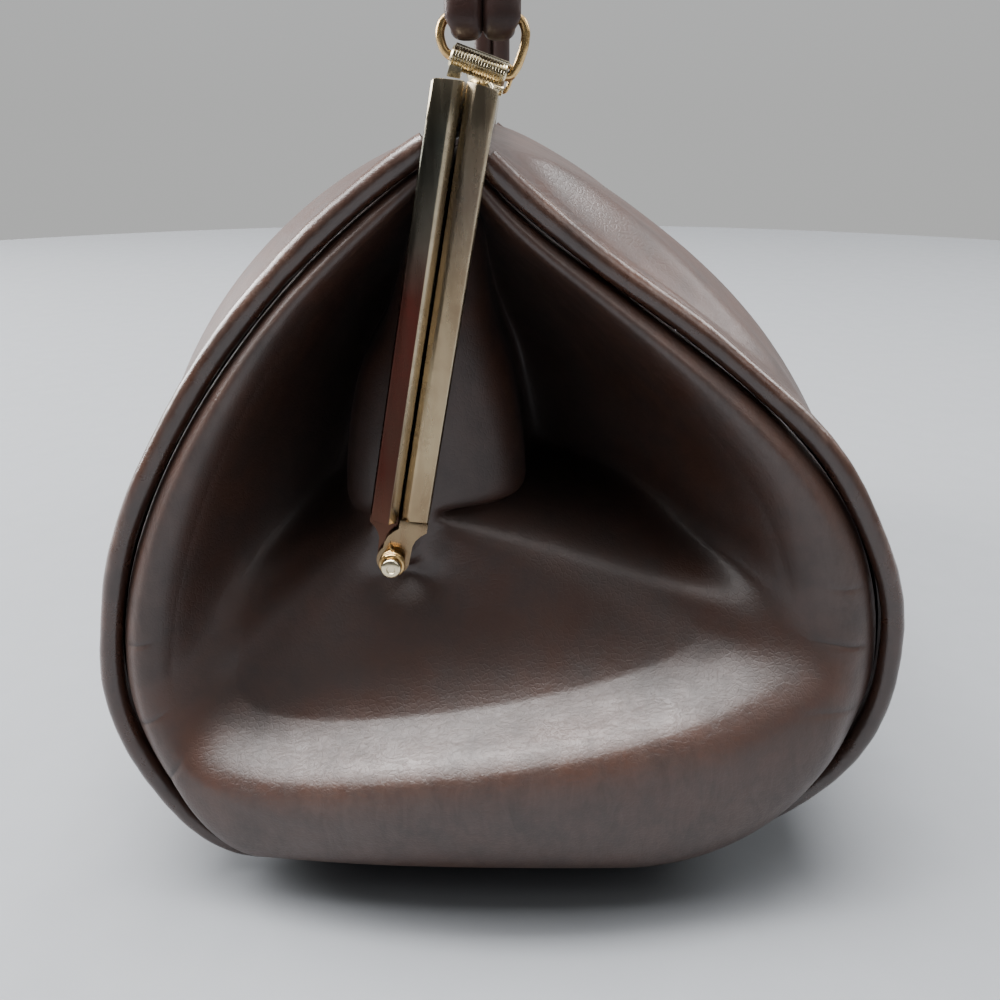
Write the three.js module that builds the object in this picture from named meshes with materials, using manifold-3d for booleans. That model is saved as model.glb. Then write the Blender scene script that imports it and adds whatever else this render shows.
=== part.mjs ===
// Kiss lock satchel: a soft leather handbag on a hinged metal frame, closed and standing on its floor.
// Millimetres, +Z up, +X along the frame towards the end that shows best, +Y towards the front panel.
// The origin is on the ground under the middle of the bag.
import * as THREE from "three";
import { mergeVertices } from "three/addons/utils/BufferGeometryUtils.js";
import Module from "manifold-3d";

const wasm = await Module();
wasm.setup();

// Leather body
const LEATHER = 2; // wall of every panel
const SEAM_X = 135; // plane of the piped end seams
const WRAP_END_X = 131.6; // where the wrap stops, just inside the piping
const PIPING_R = 2.6;
const PIPING_INSET = 1.2; // how far the piping's middle lies inside the wrap's outline
const FIT = 0.35; // gap kept between touching pieces

// Metal frame, in its own upright frame: u across the halves, h up from the hinge axis
const FRAME_LEAN = THREE.MathUtils.degToRad(10);
const HINGE_Y = -23.5;
const HINGE_Z = 88;
const FRAME_HALF = 140; // hinge end face to the middle of the bag
const FRAME_H = 98.7; // hinge axis to the top of the bar
const CHANNEL_DEPTH = 8;
const CHANNEL_FOOT = 8; // the legs' channel stops this far above the hinge axis
const HALF_GAP = 0.3; // each half stays this far from the closing plane
const CHANNEL_U = 6.4; // outer side of a half
const SLOT_IN = 2.0; // leather slot, nearer side
const SLOT_OUT = 4.7; // leather slot, farther side
const SLOT_DEPTH = 4.5;
const EDGE_BEVEL = 1;
const LIP_BEVEL = 1.9; // bevel of the legs beside the closing plane
const BAR_LIP_BEVEL = 0.4; // and of the bar
const LEG_CUT_U = 4.4; // the piping is run on to here, then cut off beside the leg

// Hinge
const EAR_R = 3.6;
const EAR_T = 1.3;
const EAR_HOLE_R = 1.75;
const BACK_EAR_X = 137;
const FRONT_EAR_X = 138.65;
const RIVET_R = 1.4;
const RIVET_HEAD_R = 2.2;
const RIVET_TAIL_R = 2.6;
const SPRING_X = 140.3;
const SPRING_R = 2.9;
const SPRING_WIRE = 1.05;
const SPRING_TURNS = 3;

// Handle and its fittings
const BARREL_X = 124;
const BARREL_U = 1.6; // barrel's middle from the closing plane
const BARREL_R = 2.3;
const BARREL_BORE_R = 1.25;
const BARREL_LENGTH = 11.6;
const BARREL_RISE = 3.4; // barrel axis above the frame's top
const BARREL_TILT = THREE.MathUtils.degToRad(9);
const BAIL_WIRE_R = 0.9;
const TAB_U = -4.1; // middle of the tab that carries the barrel, from the barrel's middle
const TAB_W = 2.6;
const TAB_DEPTH = 4.2;
// Bail, bent out of square: places across the barrel's middle and up from its axis, round from the right
// end of the wire to its left end, which meet in the barrel.
const BAIL_BEND = [
  [0.6, 0],
  [4, 0],
  [6.2, 0],
  [7, 1.4],
  [7.35, 4.2],
  [7.2, 7],
  [6.4, 9.3],
  [4.8, 10.5],
  [-2.1, 8.7],
  [-6.9, 7.3],
  [-8.6, 6.2],
  [-9.2, 4.2],
  [-8.3, 1.6],
  [-6.4, 0],
  [-4, 0],
  [-0.6, 0],
];
const BAIL_BAR = 8; // the point of the bend that is the middle of its top bar
const STRAP_W = 14.8;
const STRAP_LOOP_W = 12.6; // narrowed where it goes round the bail
const LOOP_NARROW_Z = -2.7; // it is that narrow up to here, from the bail's bar
const LOOP_WIDE_Z = -0.6; // and full again from here
const STRAP_T = 2.9;
const STRAP_LOOP_R = 3.1; // middle of the strap round the bail
const STRAP_PLY = 3.4; // middle of the strap to the middle of its turned back tongue
const TONGUE = 30;
const ARCH_START = 24; // the handle starts to arch over this far above the bail
const HANDLE_RISE = 86; // from there to the middle of the grip

// Kiss lock
const KNOB_R = 4.2;
const KNOB_X = 4.6; // each ball stands this far to its side of the middle
const KNOB_H = 5; // ball's middle above the frame's top
const KNOB_CROSS = 0.6; // how far each ball reaches past the closing plane
const STALK_R = 1.8;
const FLANGE_R = 2.7;
const FLANGE_T = 1;

// Sections of the wrap. Each row is one side's outline at a station: it leaves the frame at `slope` degrees
// below level, pulled out for `reach`, falls to the belly, whose upper curve has the length `rise`, and turns
// under to the foot, `lift` above the ground.
const BACK_SECTIONS = [
  { x: -132, slope: 30, reach: 34, bellyY: 92.5, bellyZ: 55, rise: 50, footY: 60, lift: 4.6 },
  { x: -84, slope: 17, reach: 52, bellyY: 95, bellyZ: 58, rise: 52, footY: 62, lift: 0 },
  { x: 84, slope: 17, reach: 52, bellyY: 95, bellyZ: 58, rise: 52, footY: 62, lift: 0 },
  { x: 132, slope: 27, reach: 35, bellyY: 92.5, bellyZ: 55, rise: 50, footY: 60, lift: 4.6 },
];
const FRONT_SECTIONS = [
  { x: -132, slope: 38, reach: 34, bellyY: 92.5, bellyZ: 55, rise: 58, footY: 52, lift: 4.6 },
  { x: -84, slope: 17, reach: 52, bellyY: 95, bellyZ: 58, rise: 52, footY: 56, lift: 0 },
  { x: 84, slope: 17, reach: 52, bellyY: 95, bellyZ: 58, rise: 52, footY: 54, lift: 0 },
  { x: 132, slope: 50, reach: 42, bellyY: 92.5, bellyZ: 56, rise: 68, footY: 34, lift: 4.6 },
];
const STATIONS = [-131.6, -124, -113, -98, -84, -56, -20, 20, 56, 84, 94, 103, 111, 118, 125, 131.6];
const MOUTH_H = 88.6; // the leather turns out of the bar's slot here
const SLOT_TOP_H = 94;

// Folds of an end gusset. Each row is a line from the piping (0) to the frame (1) at a place `along` the
// piping, from its back end (0) to its front end (1). `At` is a share of the way, `Out` is along X from the
// seam plane: a lip by the piping, a brow, the middle, the deepest place, and the flap that hangs from the
// frame.
const FOLD_PLACES = ["lipAt", "lipOut", "browAt", "browOut", "midAt", "midOut", "deepAt", "deepOut"];
const FOLD = ["along", ...FOLD_PLACES, "flapAt", "flapOut"];
const GUSSET_FOLDS = [
  [0.0, 0.16, 1, 0.34, -3, 0.5, -8, 0.65, -14, 0.82, -10],
  [0.09, 0.07, 3, 0.2, -2, 0.42, -24, 0.75, -45, 0.83, -16],
  [0.135, 0.065, 3.5, 0.2, -1, 0.43, -26, 0.7, -49, 0.77, -17],
  [0.2, 0.06, 4, 0.2, 0, 0.45, -25, 0.75, -44, 0.82, -15],
  [0.25, 0.055, 4.3, 0.19, 1.5, 0.45, -19, 0.77, -28, 0.88, -16],
  [0.285, 0.05, 4.6, 0.17, 3.5, 0.42, -11, 0.78, -14, 0.92, -11],
  [0.33, 0.05, 5.5, 0.17, 6.5, 0.32, -3, 0.72, -10, 0.92, -9],
  [0.38, 0.04, 8.5, 0.28, 13.5, 0.4, 4, 0.74, -6.5, 0.92, -8],
  [0.46, 0.03, 11.5, 0.42, 20, 0.53, 8.5, 0.74, -5, 0.92, -8],
  [0.54, 0.03, 12, 0.46, 21, 0.56, 8.5, 0.75, -5, 0.92, -8],
  [0.61, 0.03, 10.5, 0.43, 19.5, 0.54, 8, 0.75, -5, 0.92, -8.5],
  [0.665, 0.04, 7.5, 0.31, 13.5, 0.43, 3.5, 0.74, -6, 0.92, -9],
  [0.7, 0.05, 5.5, 0.21, 6.5, 0.37, -4, 0.72, -9, 0.92, -10],
  [0.725, 0.05, 4.4, 0.18, 1, 0.45, -10, 0.72, -10, 0.9, -11],
  [0.75, 0.05, 4.2, 0.18, -1, 0.45, -28, 0.72, -17, 0.87, -21],
  [0.785, 0.05, 4, 0.18, -2, 0.45, -37, 0.73, -57, 0.78, -19],
  [0.86, 0.07, 3.5, 0.2, -3, 0.42, -35, 0.74, -60, 0.79, -18],
  [0.93, 0.09, 2.5, 0.2, -4, 0.4, -23, 0.77, -44, 0.83, -15],
  [1.0, 0.16, 1, 0.34, -3, 0.5, -8, 0.65, -14, 0.82, -10],
].map((row) => Object.fromEntries(row.map((value, i) => [FOLD[i], value])));
// Lines of the gusset's mesh: how many lie between one place along the piping and the next.
const GUSSET_LINES = [
  { from: 0, to: 0.2, count: 5 },
  { from: 0.2, to: 0.36, count: 5 },
  { from: 0.36, to: 0.64, count: 7 },
  { from: 0.64, to: 0.8, count: 8 },
  { from: 0.8, to: 1, count: 5 },
];
const GUSSET_STEPS = [2, 2, 2, 2, 2, 2, 1, 1, 1]; // points between one control point of a fold and the next
const GUSSET_START = 0.022; // share of the piping left bare at each end
const GUSSET_SIDE = 0.22; // share of the piping whose folds run to each leg
const GUSSET_TOP_H = 79; // highest line of the gusset in a leg's slot
const GUSSET_FOOT_H = 9;
const GUSSET_MOUTH_X = 127.8; // the gusset turns into the leg's slot here
const GUSSET_CLAMP_X = 130.8; // from here to its edge it lies straight in the slot
const GUSSET_SLOT_X = 135.3;
const GUSSET_DIP_H = -4; // free edge under the hinge
const GUSSET_FREE_X = 127; // that edge hangs behind the hinge here

// Materials
const leather = new THREE.MeshStandardMaterial({ color: 0x4a342d, roughness: 0.42, metalness: 0 });
const piping = new THREE.MeshStandardMaterial({ color: 0x40302a, roughness: 0.38, metalness: 0 });
const strap = new THREE.MeshStandardMaterial({ color: 0x3a2722, roughness: 0.45, metalness: 0 });
const frameMetal = new THREE.MeshStandardMaterial({ color: 0xb5a488, roughness: 0.25, metalness: 1 });
const wireMetal = new THREE.MeshStandardMaterial({ color: 0xb98f52, roughness: 0.28, metalness: 1 });

const part = new THREE.Group();
const frame = new THREE.Group();
frame.position.set(0, HINGE_Y, HINGE_Z);
frame.rotation.x = -FRAME_LEAN;
part.add(frame);

// Turns an outline that was drawn across and up, and extruded, so that its depth runs along X.
const ALONG_X = new THREE.Matrix4().set(0, 0, 1, 0, 1, 0, 0, 0, 0, 1, 0, 0, 0, 0, 0, 1);

function addMesh(parent, name, geometry, material) {
  const mesh = new THREE.Mesh(geometry, material);
  mesh.name = name;
  parent.add(mesh);
  return mesh;
}

// Point of the leaning frame, across the halves and up from the hinge, as Y and Z of the bag.
function fromFrame(u, h) {
  const c = Math.cos(FRAME_LEAN);
  const s = Math.sin(FRAME_LEAN);
  return new THREE.Vector2(HINGE_Y + u * c + h * s, HINGE_Z - u * s + h * c);
}

// Values of a table at a place between its rows, on a smooth curve that never overshoots a row.
function between(rows, key, value) {
  const last = rows.length - 1;
  const place = THREE.MathUtils.clamp(value, rows[0][key], rows[last][key]);
  let i = 0;
  while (i < last - 1 && rows[i + 1][key] <= place) i++;
  const slope = (name, k) => (rows[k + 1][name] - rows[k][name]) / (rows[k + 1][key] - rows[k][key]);
  const tangent = (name, k) => {
    if (k === 0 || k === last) return 0;
    const before = slope(name, k - 1);
    const after = slope(name, k);
    return before * after <= 0 ? 0 : (2 * before * after) / (before + after);
  };
  const width = rows[i + 1][key] - rows[i][key];
  const t = (place - rows[i][key]) / width;
  const made = {};
  for (const name of Object.keys(rows[i])) {
    const from = rows[i][name] * (1 + 2 * t) * (1 - t) ** 2 + tangent(name, i) * width * t * (1 - t) ** 2;
    const to = rows[i + 1][name] * t * t * (3 - 2 * t) - tangent(name, i + 1) * width * t * t * (1 - t);
    made[name] = from + to;
  }
  return made;
}

// Closed surface from its coordinates and triangles, with its faces turned outwards.
function indexed(position, index) {
  const geometry = new THREE.BufferGeometry();
  geometry.setAttribute("position", new THREE.Float32BufferAttribute(position, 3));
  geometry.setIndex(index);
  if (asSolid(geometry).volume() < 0) {
    const corners = geometry.index.array;
    for (let i = 1; i < corners.length; i += 3) [corners[i], corners[i + 1]] = [corners[i + 1], corners[i]];
  }
  return geometry;
}

// Closed solid from rings of points, each ring joined to the next, with flat caps.
function loft(rings, outline) {
  const n = rings[0].length;
  const position = rings.flat().flatMap((p) => [p.x, p.y, p.z]);
  const index = [];
  for (let i = 0; i + 1 < rings.length; i++)
    for (let j = 0; j < n; j++) {
      const k = (j + 1) % n;
      index.push(i * n + j, i * n + k, (i + 1) * n + k, i * n + j, (i + 1) * n + k, (i + 1) * n + j);
    }
  const base = (rings.length - 1) * n;
  const clockwise = THREE.ShapeUtils.isClockWise(outline);
  for (const face of THREE.ShapeUtils.triangulateShape(outline, [])) {
    const [a, b, c] = clockwise ? face.toReversed() : face;
    index.push(a, c, b);
    index.push(base + a, base + b, base + c);
  }
  return indexed(position, index);
}

// Closed wall from a grid of points on its outer face, `thickness` deep along the grid's normals.
function wall(grid, thickness, outShare = 0) {
  const rows = grid.length;
  const columns = grid[0].length;
  const at = (i, j) => grid[Math.min(Math.max(i, 0), rows - 1)][Math.min(Math.max(j, 0), columns - 1)];
  const outer = [];
  const inner = [];
  for (let i = 0; i < rows; i++)
    for (let j = 0; j < columns; j++) {
      const down = at(i + 1, j).clone().sub(at(i - 1, j));
      const across = at(i, j + 1).clone().sub(at(i, j - 1));
      const normal = across.cross(down).normalize();
      outer.push(grid[i][j].clone().addScaledVector(normal, thickness * outShare));
      inner.push(grid[i][j].clone().addScaledVector(normal, thickness * (outShare - 1)));
    }
  const position = [...outer, ...inner].flatMap((p) => [p.x, p.y, p.z]);
  const count = rows * columns;
  const index = [];
  const quad = (a, b, c, d) => index.push(a, b, c, a, c, d);
  const id = (i, j) => i * columns + j;
  for (let i = 0; i + 1 < rows; i++)
    for (let j = 0; j + 1 < columns; j++) {
      quad(id(i, j), id(i, j + 1), id(i + 1, j + 1), id(i + 1, j));
      quad(count + id(i, j), count + id(i + 1, j), count + id(i + 1, j + 1), count + id(i, j + 1));
    }
  for (let j = 0; j + 1 < columns; j++) {
    quad(id(0, j + 1), id(0, j), count + id(0, j), count + id(0, j + 1));
    quad(id(rows - 1, j), id(rows - 1, j + 1), count + id(rows - 1, j + 1), count + id(rows - 1, j));
  }
  for (let i = 0; i + 1 < rows; i++) {
    quad(id(i, 0), id(i + 1, 0), count + id(i + 1, 0), count + id(i, 0));
    const last = columns - 1;
    quad(id(i + 1, last), id(i, last), count + id(i, last), count + id(i + 1, last));
  }
  return indexed(position, index);
}

function asSolid(geometry) {
  const bare = geometry.clone();
  bare.deleteAttribute("normal");
  bare.deleteAttribute("uv");
  const merged = mergeVertices(bare, 1e-4);
  const vertProperties = merged.attributes.position.array;
  const triVerts = new Uint32Array(merged.index.array);
  return new wasm.Manifold(new wasm.Mesh({ numProp: 3, vertProperties, triVerts }));
}

function asGeometry(solid) {
  const mesh = solid.getMesh();
  return new THREE.BufferGeometry()
    .setAttribute("position", new THREE.BufferAttribute(mesh.vertProperties, 3))
    .setIndex(new THREE.BufferAttribute(mesh.triVerts, 1));
}

function circle(radius, sides) {
  const points = Array.from({ length: sides }, (_, i) => {
    const a = (2 * Math.PI * i) / sides;
    return new THREE.Vector2(radius * Math.cos(a), radius * Math.sin(a));
  });
  return new THREE.Shape(points);
}

function tube(curve, radius, sides, steps) {
  return new THREE.ExtrudeGeometry(circle(radius, sides), { extrudePath: curve, steps, bevelEnabled: false });
}

// Turned piece along X from pairs of radius and place.
function turned(profile, sides) {
  const points = profile.map(([r, x]) => new THREE.Vector2(r, x));
  return new THREE.LatheGeometry(points, sides).rotateZ(-Math.PI / 2);
}

// One side of the wrap at a station, from the slot in the bar to the foot.
function halfOutline(side, section) {
  const slope = THREE.MathUtils.degToRad(section.slope);
  const slotTop = fromFrame(side * (SLOT_OUT - FIT), SLOT_TOP_H);
  const mouth = fromFrame(side * (SLOT_OUT - FIT), MOUTH_H);
  const belly = new THREE.Vector2(side * section.bellyY, section.bellyZ);
  const foot = new THREE.Vector2(side * section.footY, section.lift);
  const outward = new THREE.Vector2(side * Math.cos(slope), -Math.sin(slope));
  const pull = mouth.clone().addScaledVector(outward, section.reach);
  const above = belly.clone().add(new THREE.Vector2(0, section.rise));
  const below = belly.clone().lerp(new THREE.Vector2(belly.x, foot.y), 0.5);
  const beside = foot.clone().lerp(new THREE.Vector2(belly.x, foot.y), 0.5);
  const fall = new THREE.CubicBezierCurve(mouth, pull, above, belly).getPoints(9);
  const turn = new THREE.CubicBezierCurve(belly, below, beside, foot).getPoints(5);
  return [slotTop, ...fall, ...turn.slice(1)];
}

// Outline of the wrap at a station, from the back slot round the floor to the front slot.
function wrapSection(x) {
  const back = halfOutline(-1, between(BACK_SECTIONS, "x", x));
  const front = halfOutline(1, between(FRONT_SECTIONS, "x", x));
  const backFoot = back.at(-1);
  const frontFoot = front.at(-1);
  const floor = [0.25, 0.5, 0.75].map((share) => backFoot.clone().lerp(frontFoot, share));
  return [...back, ...floor, ...front.reverse()];
}

// Middle line of the piping at one end, from beside the back leg round the floor to beside the front leg.
function pipingCurve(end) {
  const outline = wrapSection(end * WRAP_END_X);
  const middle = outline.reduce((sum, p) => sum.add(p), new THREE.Vector2()).divideScalar(outline.length);
  const inset = outline.map((p, i) => {
    const before = outline[Math.max(i - 1, 0)];
    const after = outline[Math.min(i + 1, outline.length - 1)];
    const along = after.clone().sub(before).normalize();
    const normal = new THREE.Vector2(-along.y, along.x);
    if (normal.dot(middle.clone().sub(p)) < 0) normal.negate();
    return p.clone().addScaledVector(normal, PIPING_INSET);
  });
  const c = Math.cos(FRAME_LEAN);
  const s = Math.sin(FRAME_LEAN);
  const across = (p) => Math.abs((p.x - HINGE_Y) * c - (p.y - HINGE_Z) * s);
  const free = inset.slice(2, -2).filter((p) => across(p) > CHANNEL_U || p.y < HINGE_Z);
  // Each end is run on along its own slope, into the leg's outline, to be cut there.
  const runOn = (first, second) => {
    const share = (across(first) - LEG_CUT_U) / (across(second) - across(first));
    return first.clone().addScaledVector(second.clone().sub(first), -share);
  };
  const start = runOn(free[0], free[1]);
  const stop = runOn(free.at(-1), free.at(-2));
  const line = [start, ...free, stop].map((p) => new THREE.Vector3(end * SEAM_X, p.x, p.y));
  return new THREE.CatmullRomCurve3(line, false, "centripetal");
}

// Piping along a seam, cut off square beside the frame's legs.
function addPiping(end, name, curve) {
  const legs = new THREE.BoxGeometry(CHANNEL_DEPTH + 2, 2 * (CHANNEL_U + FIT), FRAME_H);
  legs.translate(end * (FRAME_HALF - CHANNEL_DEPTH / 2), 0, FRAME_H / 2 + CHANNEL_FOOT);
  legs.rotateX(-FRAME_LEAN).translate(0, HINGE_Y, HINGE_Z);
  const cord = asSolid(tube(curve, PIPING_R, 8, 40)).subtract(asSolid(legs));
  addMesh(part, "piping_" + name, asGeometry(cord), piping);
}

// Where a fold of the gusset meets the frame: down one leg's slot, under the hinge and up the other.
function gussetInner(along) {
  const u = (SLOT_IN + SLOT_OUT) / 2;
  const fromSide = Math.min(along, 1 - along);
  if (fromSide < GUSSET_SIDE) {
    const h = THREE.MathUtils.lerp(GUSSET_TOP_H, GUSSET_FOOT_H, fromSide / GUSSET_SIDE);
    return fromFrame(along < GUSSET_SIDE ? -u : u, h);
  }
  const turn = (Math.PI * (along - GUSSET_SIDE)) / (1 - 2 * GUSSET_SIDE);
  return fromFrame(-u * Math.cos(turn), GUSSET_FOOT_H + (GUSSET_DIP_H - GUSSET_FOOT_H) * Math.sin(turn));
}

// One fold line of the gusset, from the piping to the frame.
function gussetLine(end, curve, share) {
  const along = THREE.MathUtils.lerp(GUSSET_START, 1 - GUSSET_START, share);
  const seam3 = curve.getPointAt(along);
  const seam = new THREE.Vector2(seam3.y, seam3.z);
  const tangent = curve.getTangentAt(along);
  const inward = new THREE.Vector2(-tangent.z, tangent.y);
  seam.addScaledVector(inward, PIPING_R + FIT + LEATHER / 2);
  const inner = gussetInner(along);
  const fold = between(GUSSET_FOLDS, "along", along);
  const place = (share2, x) => {
    const p = seam.clone().lerp(inner, share2);
    return new THREE.Vector3(end * x, p.x, p.y);
  };
  const fromSide = Math.min(along, 1 - along);
  const free = THREE.MathUtils.smoothstep(fromSide, GUSSET_SIDE - 0.06, GUSSET_SIDE - 0.005);
  const loose = (held, hanging) => THREE.MathUtils.lerp(held, hanging, free);
  const swell = (fold.lipOut + fold.browOut) / 2 + 1.2 + 0.2 * Math.max(fold.browOut, 0);
  const curve3 = new THREE.CatmullRomCurve3(
    [
      place(0, SEAM_X + 0.4),
      place(fold.lipAt, SEAM_X + fold.lipOut),
      place((fold.lipAt + fold.browAt) / 2, SEAM_X + swell),
      place(fold.browAt, SEAM_X + fold.browOut),
      place(fold.midAt, SEAM_X + fold.midOut),
      place(fold.deepAt, SEAM_X + fold.deepOut),
      place(fold.flapAt, SEAM_X + fold.flapOut),
      place(loose(1, 0.97), loose(GUSSET_MOUTH_X, GUSSET_FREE_X - 1)),
      place(loose(1, 0.985), loose(GUSSET_CLAMP_X, GUSSET_FREE_X - 0.5)),
      place(1, loose(GUSSET_SLOT_X, GUSSET_FREE_X)),
    ],
    false,
    "centripetal",
  );
  const spans = GUSSET_STEPS.length;
  const points = GUSSET_STEPS.flatMap((steps, i) =>
    Array.from({ length: steps }, (_, j) => curve3.getPoint((i + j / steps) / spans)),
  );
  return [...points, curve3.getPoint(1)];
}

function addGusset(end, name, curve) {
  const shares = GUSSET_LINES.flatMap(({ from, to, count }) =>
    Array.from({ length: count }, (_, i) => THREE.MathUtils.lerp(from, to, i / count)),
  );
  const grid = [...shares, 1].map((share) => gussetLine(end, curve, share));
  addMesh(part, name, wall(grid, LEATHER, 0.5), leather);
}

// Channel of one frame half, swept down a leg, along the bar and down the other leg, with its hinge ears.
function frameHalf(side, earX) {
  // Place across and depth below the outer face on the legs and, where it differs, on the bar.
  const profile = [
    [CHANNEL_U, CHANNEL_DEPTH],
    [CHANNEL_U, EDGE_BEVEL],
    [CHANNEL_U - EDGE_BEVEL, 0],
    [HALF_GAP + LIP_BEVEL, 0],
    [HALF_GAP, LIP_BEVEL, BAR_LIP_BEVEL],
    [HALF_GAP, CHANNEL_DEPTH],
    [SLOT_IN, CHANNEL_DEPTH],
    [SLOT_IN, CHANNEL_DEPTH - SLOT_DEPTH],
    [SLOT_OUT, CHANNEL_DEPTH - SLOT_DEPTH],
    [SLOT_OUT, CHANNEL_DEPTH],
  ];
  const ring = (end, atTop) =>
    profile.map(([u, depth, barDepth = depth]) => {
      const h = atTop ? FRAME_H - barDepth : CHANNEL_FOOT;
      return new THREE.Vector3(end * (FRAME_HALF - depth), side * u, h);
    });
  const outline = profile.map(([u, depth]) => new THREE.Vector2(u, depth));
  let solid = asSolid(loft([ring(1, false), ring(1, true), ring(-1, true), ring(-1, false)], outline));
  const ear = new THREE.Shape();
  const root = CHANNEL_FOOT + 1.6;
  ear.moveTo(side * (HALF_GAP + 0.1), root);
  ear.lineTo(side * (CHANNEL_U - 0.3), root);
  ear.lineTo(side * (CHANNEL_U - 0.3), CHANNEL_FOOT - 0.4);
  ear.quadraticCurveTo(side * (EAR_R + 0.3), EAR_R + 0.8, side * EAR_R, 0);
  ear.absarc(0, 0, EAR_R, side > 0 ? 0 : Math.PI, side > 0 ? Math.PI - 0.1 : 0.1, side > 0);
  ear.closePath();
  ear.holes.push(new THREE.Path(circle(EAR_HOLE_R, 12).getPoints()));
  const plate = new THREE.ExtrudeGeometry(ear, { depth: EAR_T, bevelEnabled: false, curveSegments: 8 });
  plate.applyMatrix4(ALONG_X);
  const near = plate.clone().translate(earX, 0, 0);
  const far = plate.clone().translate(-earX - EAR_T, 0, 0);
  solid = solid.add(asSolid(near)).add(asSolid(far));
  return asGeometry(solid);
}

function addHinge(end, name) {
  const springEnd = SPRING_X + SPRING_TURNS * SPRING_WIRE;
  const head = springEnd + FIT;
  const tail = BACK_EAR_X - FIT - 1.6;
  const rivet = turned(
    [
      [0, tail],
      [RIVET_TAIL_R, tail],
      [RIVET_TAIL_R, BACK_EAR_X - FIT],
      [RIVET_R, BACK_EAR_X - FIT],
      [RIVET_R, head],
      [RIVET_HEAD_R, head],
      [RIVET_HEAD_R, head + 0.8],
      [RIVET_HEAD_R - 0.6, head + 1.3],
      [0, head + 1.4],
    ],
    12,
  );
  const turns = Array.from({ length: SPRING_TURNS }, (_, i) => {
    const x = SPRING_X + i * SPRING_WIRE;
    return [
      [SPRING_R - 0.45, x],
      [SPRING_R, x + SPRING_WIRE / 2],
    ];
  }).flat();
  const inside = [
    [EAR_HOLE_R, springEnd],
    [EAR_HOLE_R, SPRING_X],
  ];
  const spring = turned([inside[1], ...turns, [SPRING_R - 0.45, springEnd], ...inside], 10);
  for (const [label, geometry] of [
    ["hinge_rivet_", rivet],
    ["hinge_spring_", spring],
  ]) {
    const mesh = addMesh(frame, label + name, geometry, label === "hinge_spring_" ? wireMetal : frameMetal);
    if (end < 0) mesh.rotation.z = Math.PI;
  }
}

// Barrel on the bar's end, the wire bail that turns in it, and the tab that holds the barrel to the bar.
function addBail(end, name) {
  const fitting = new THREE.Group();
  fitting.position.set(end * BARREL_X, BARREL_U, FRAME_H + BARREL_RISE);
  fitting.rotation.x = -BARREL_TILT;
  frame.add(fitting);
  const half = BARREL_LENGTH / 2;
  const sleeve = turned(
    [
      [BARREL_BORE_R, -half],
      [BARREL_R, -half],
      [BARREL_R, half],
      [BARREL_BORE_R, half],
      [BARREL_BORE_R, -half],
    ],
    14,
  ).rotateZ(Math.PI / 2);
  // The tab's foot lies level over the bar.
  const tabTop = -BARREL_BORE_R - 0.3;
  const footAt = (u) => (FIT - BARREL_RISE + u * Math.sin(BARREL_TILT)) / Math.cos(BARREL_TILT);
  const [tabLeft, tabRight] = [TAB_U - TAB_W / 2, TAB_U + TAB_W / 2];
  const tabOutline = new THREE.Shape([
    new THREE.Vector2(tabLeft, tabTop),
    new THREE.Vector2(tabLeft, footAt(tabLeft)),
    new THREE.Vector2(tabRight, footAt(tabRight)),
    new THREE.Vector2(tabRight, tabTop),
  ]);
  const tab = new THREE.ExtrudeGeometry(tabOutline, { depth: TAB_DEPTH, bevelEnabled: false });
  tab.applyMatrix4(ALONG_X).translate(-TAB_DEPTH / 2, 0, 0);
  addMesh(fitting, "handle_barrel_" + name, asGeometry(asSolid(sleeve).add(asSolid(tab))), frameMetal);
  const wire = new THREE.CatmullRomCurve3(
    BAIL_BEND.map(([u, h]) => new THREE.Vector3(0, u, h)),
    false,
    "centripetal",
  );
  addMesh(fitting, "bail_" + name, tube(wire, BAIL_WIRE_R, 6, 34), wireMetal);
}

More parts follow.
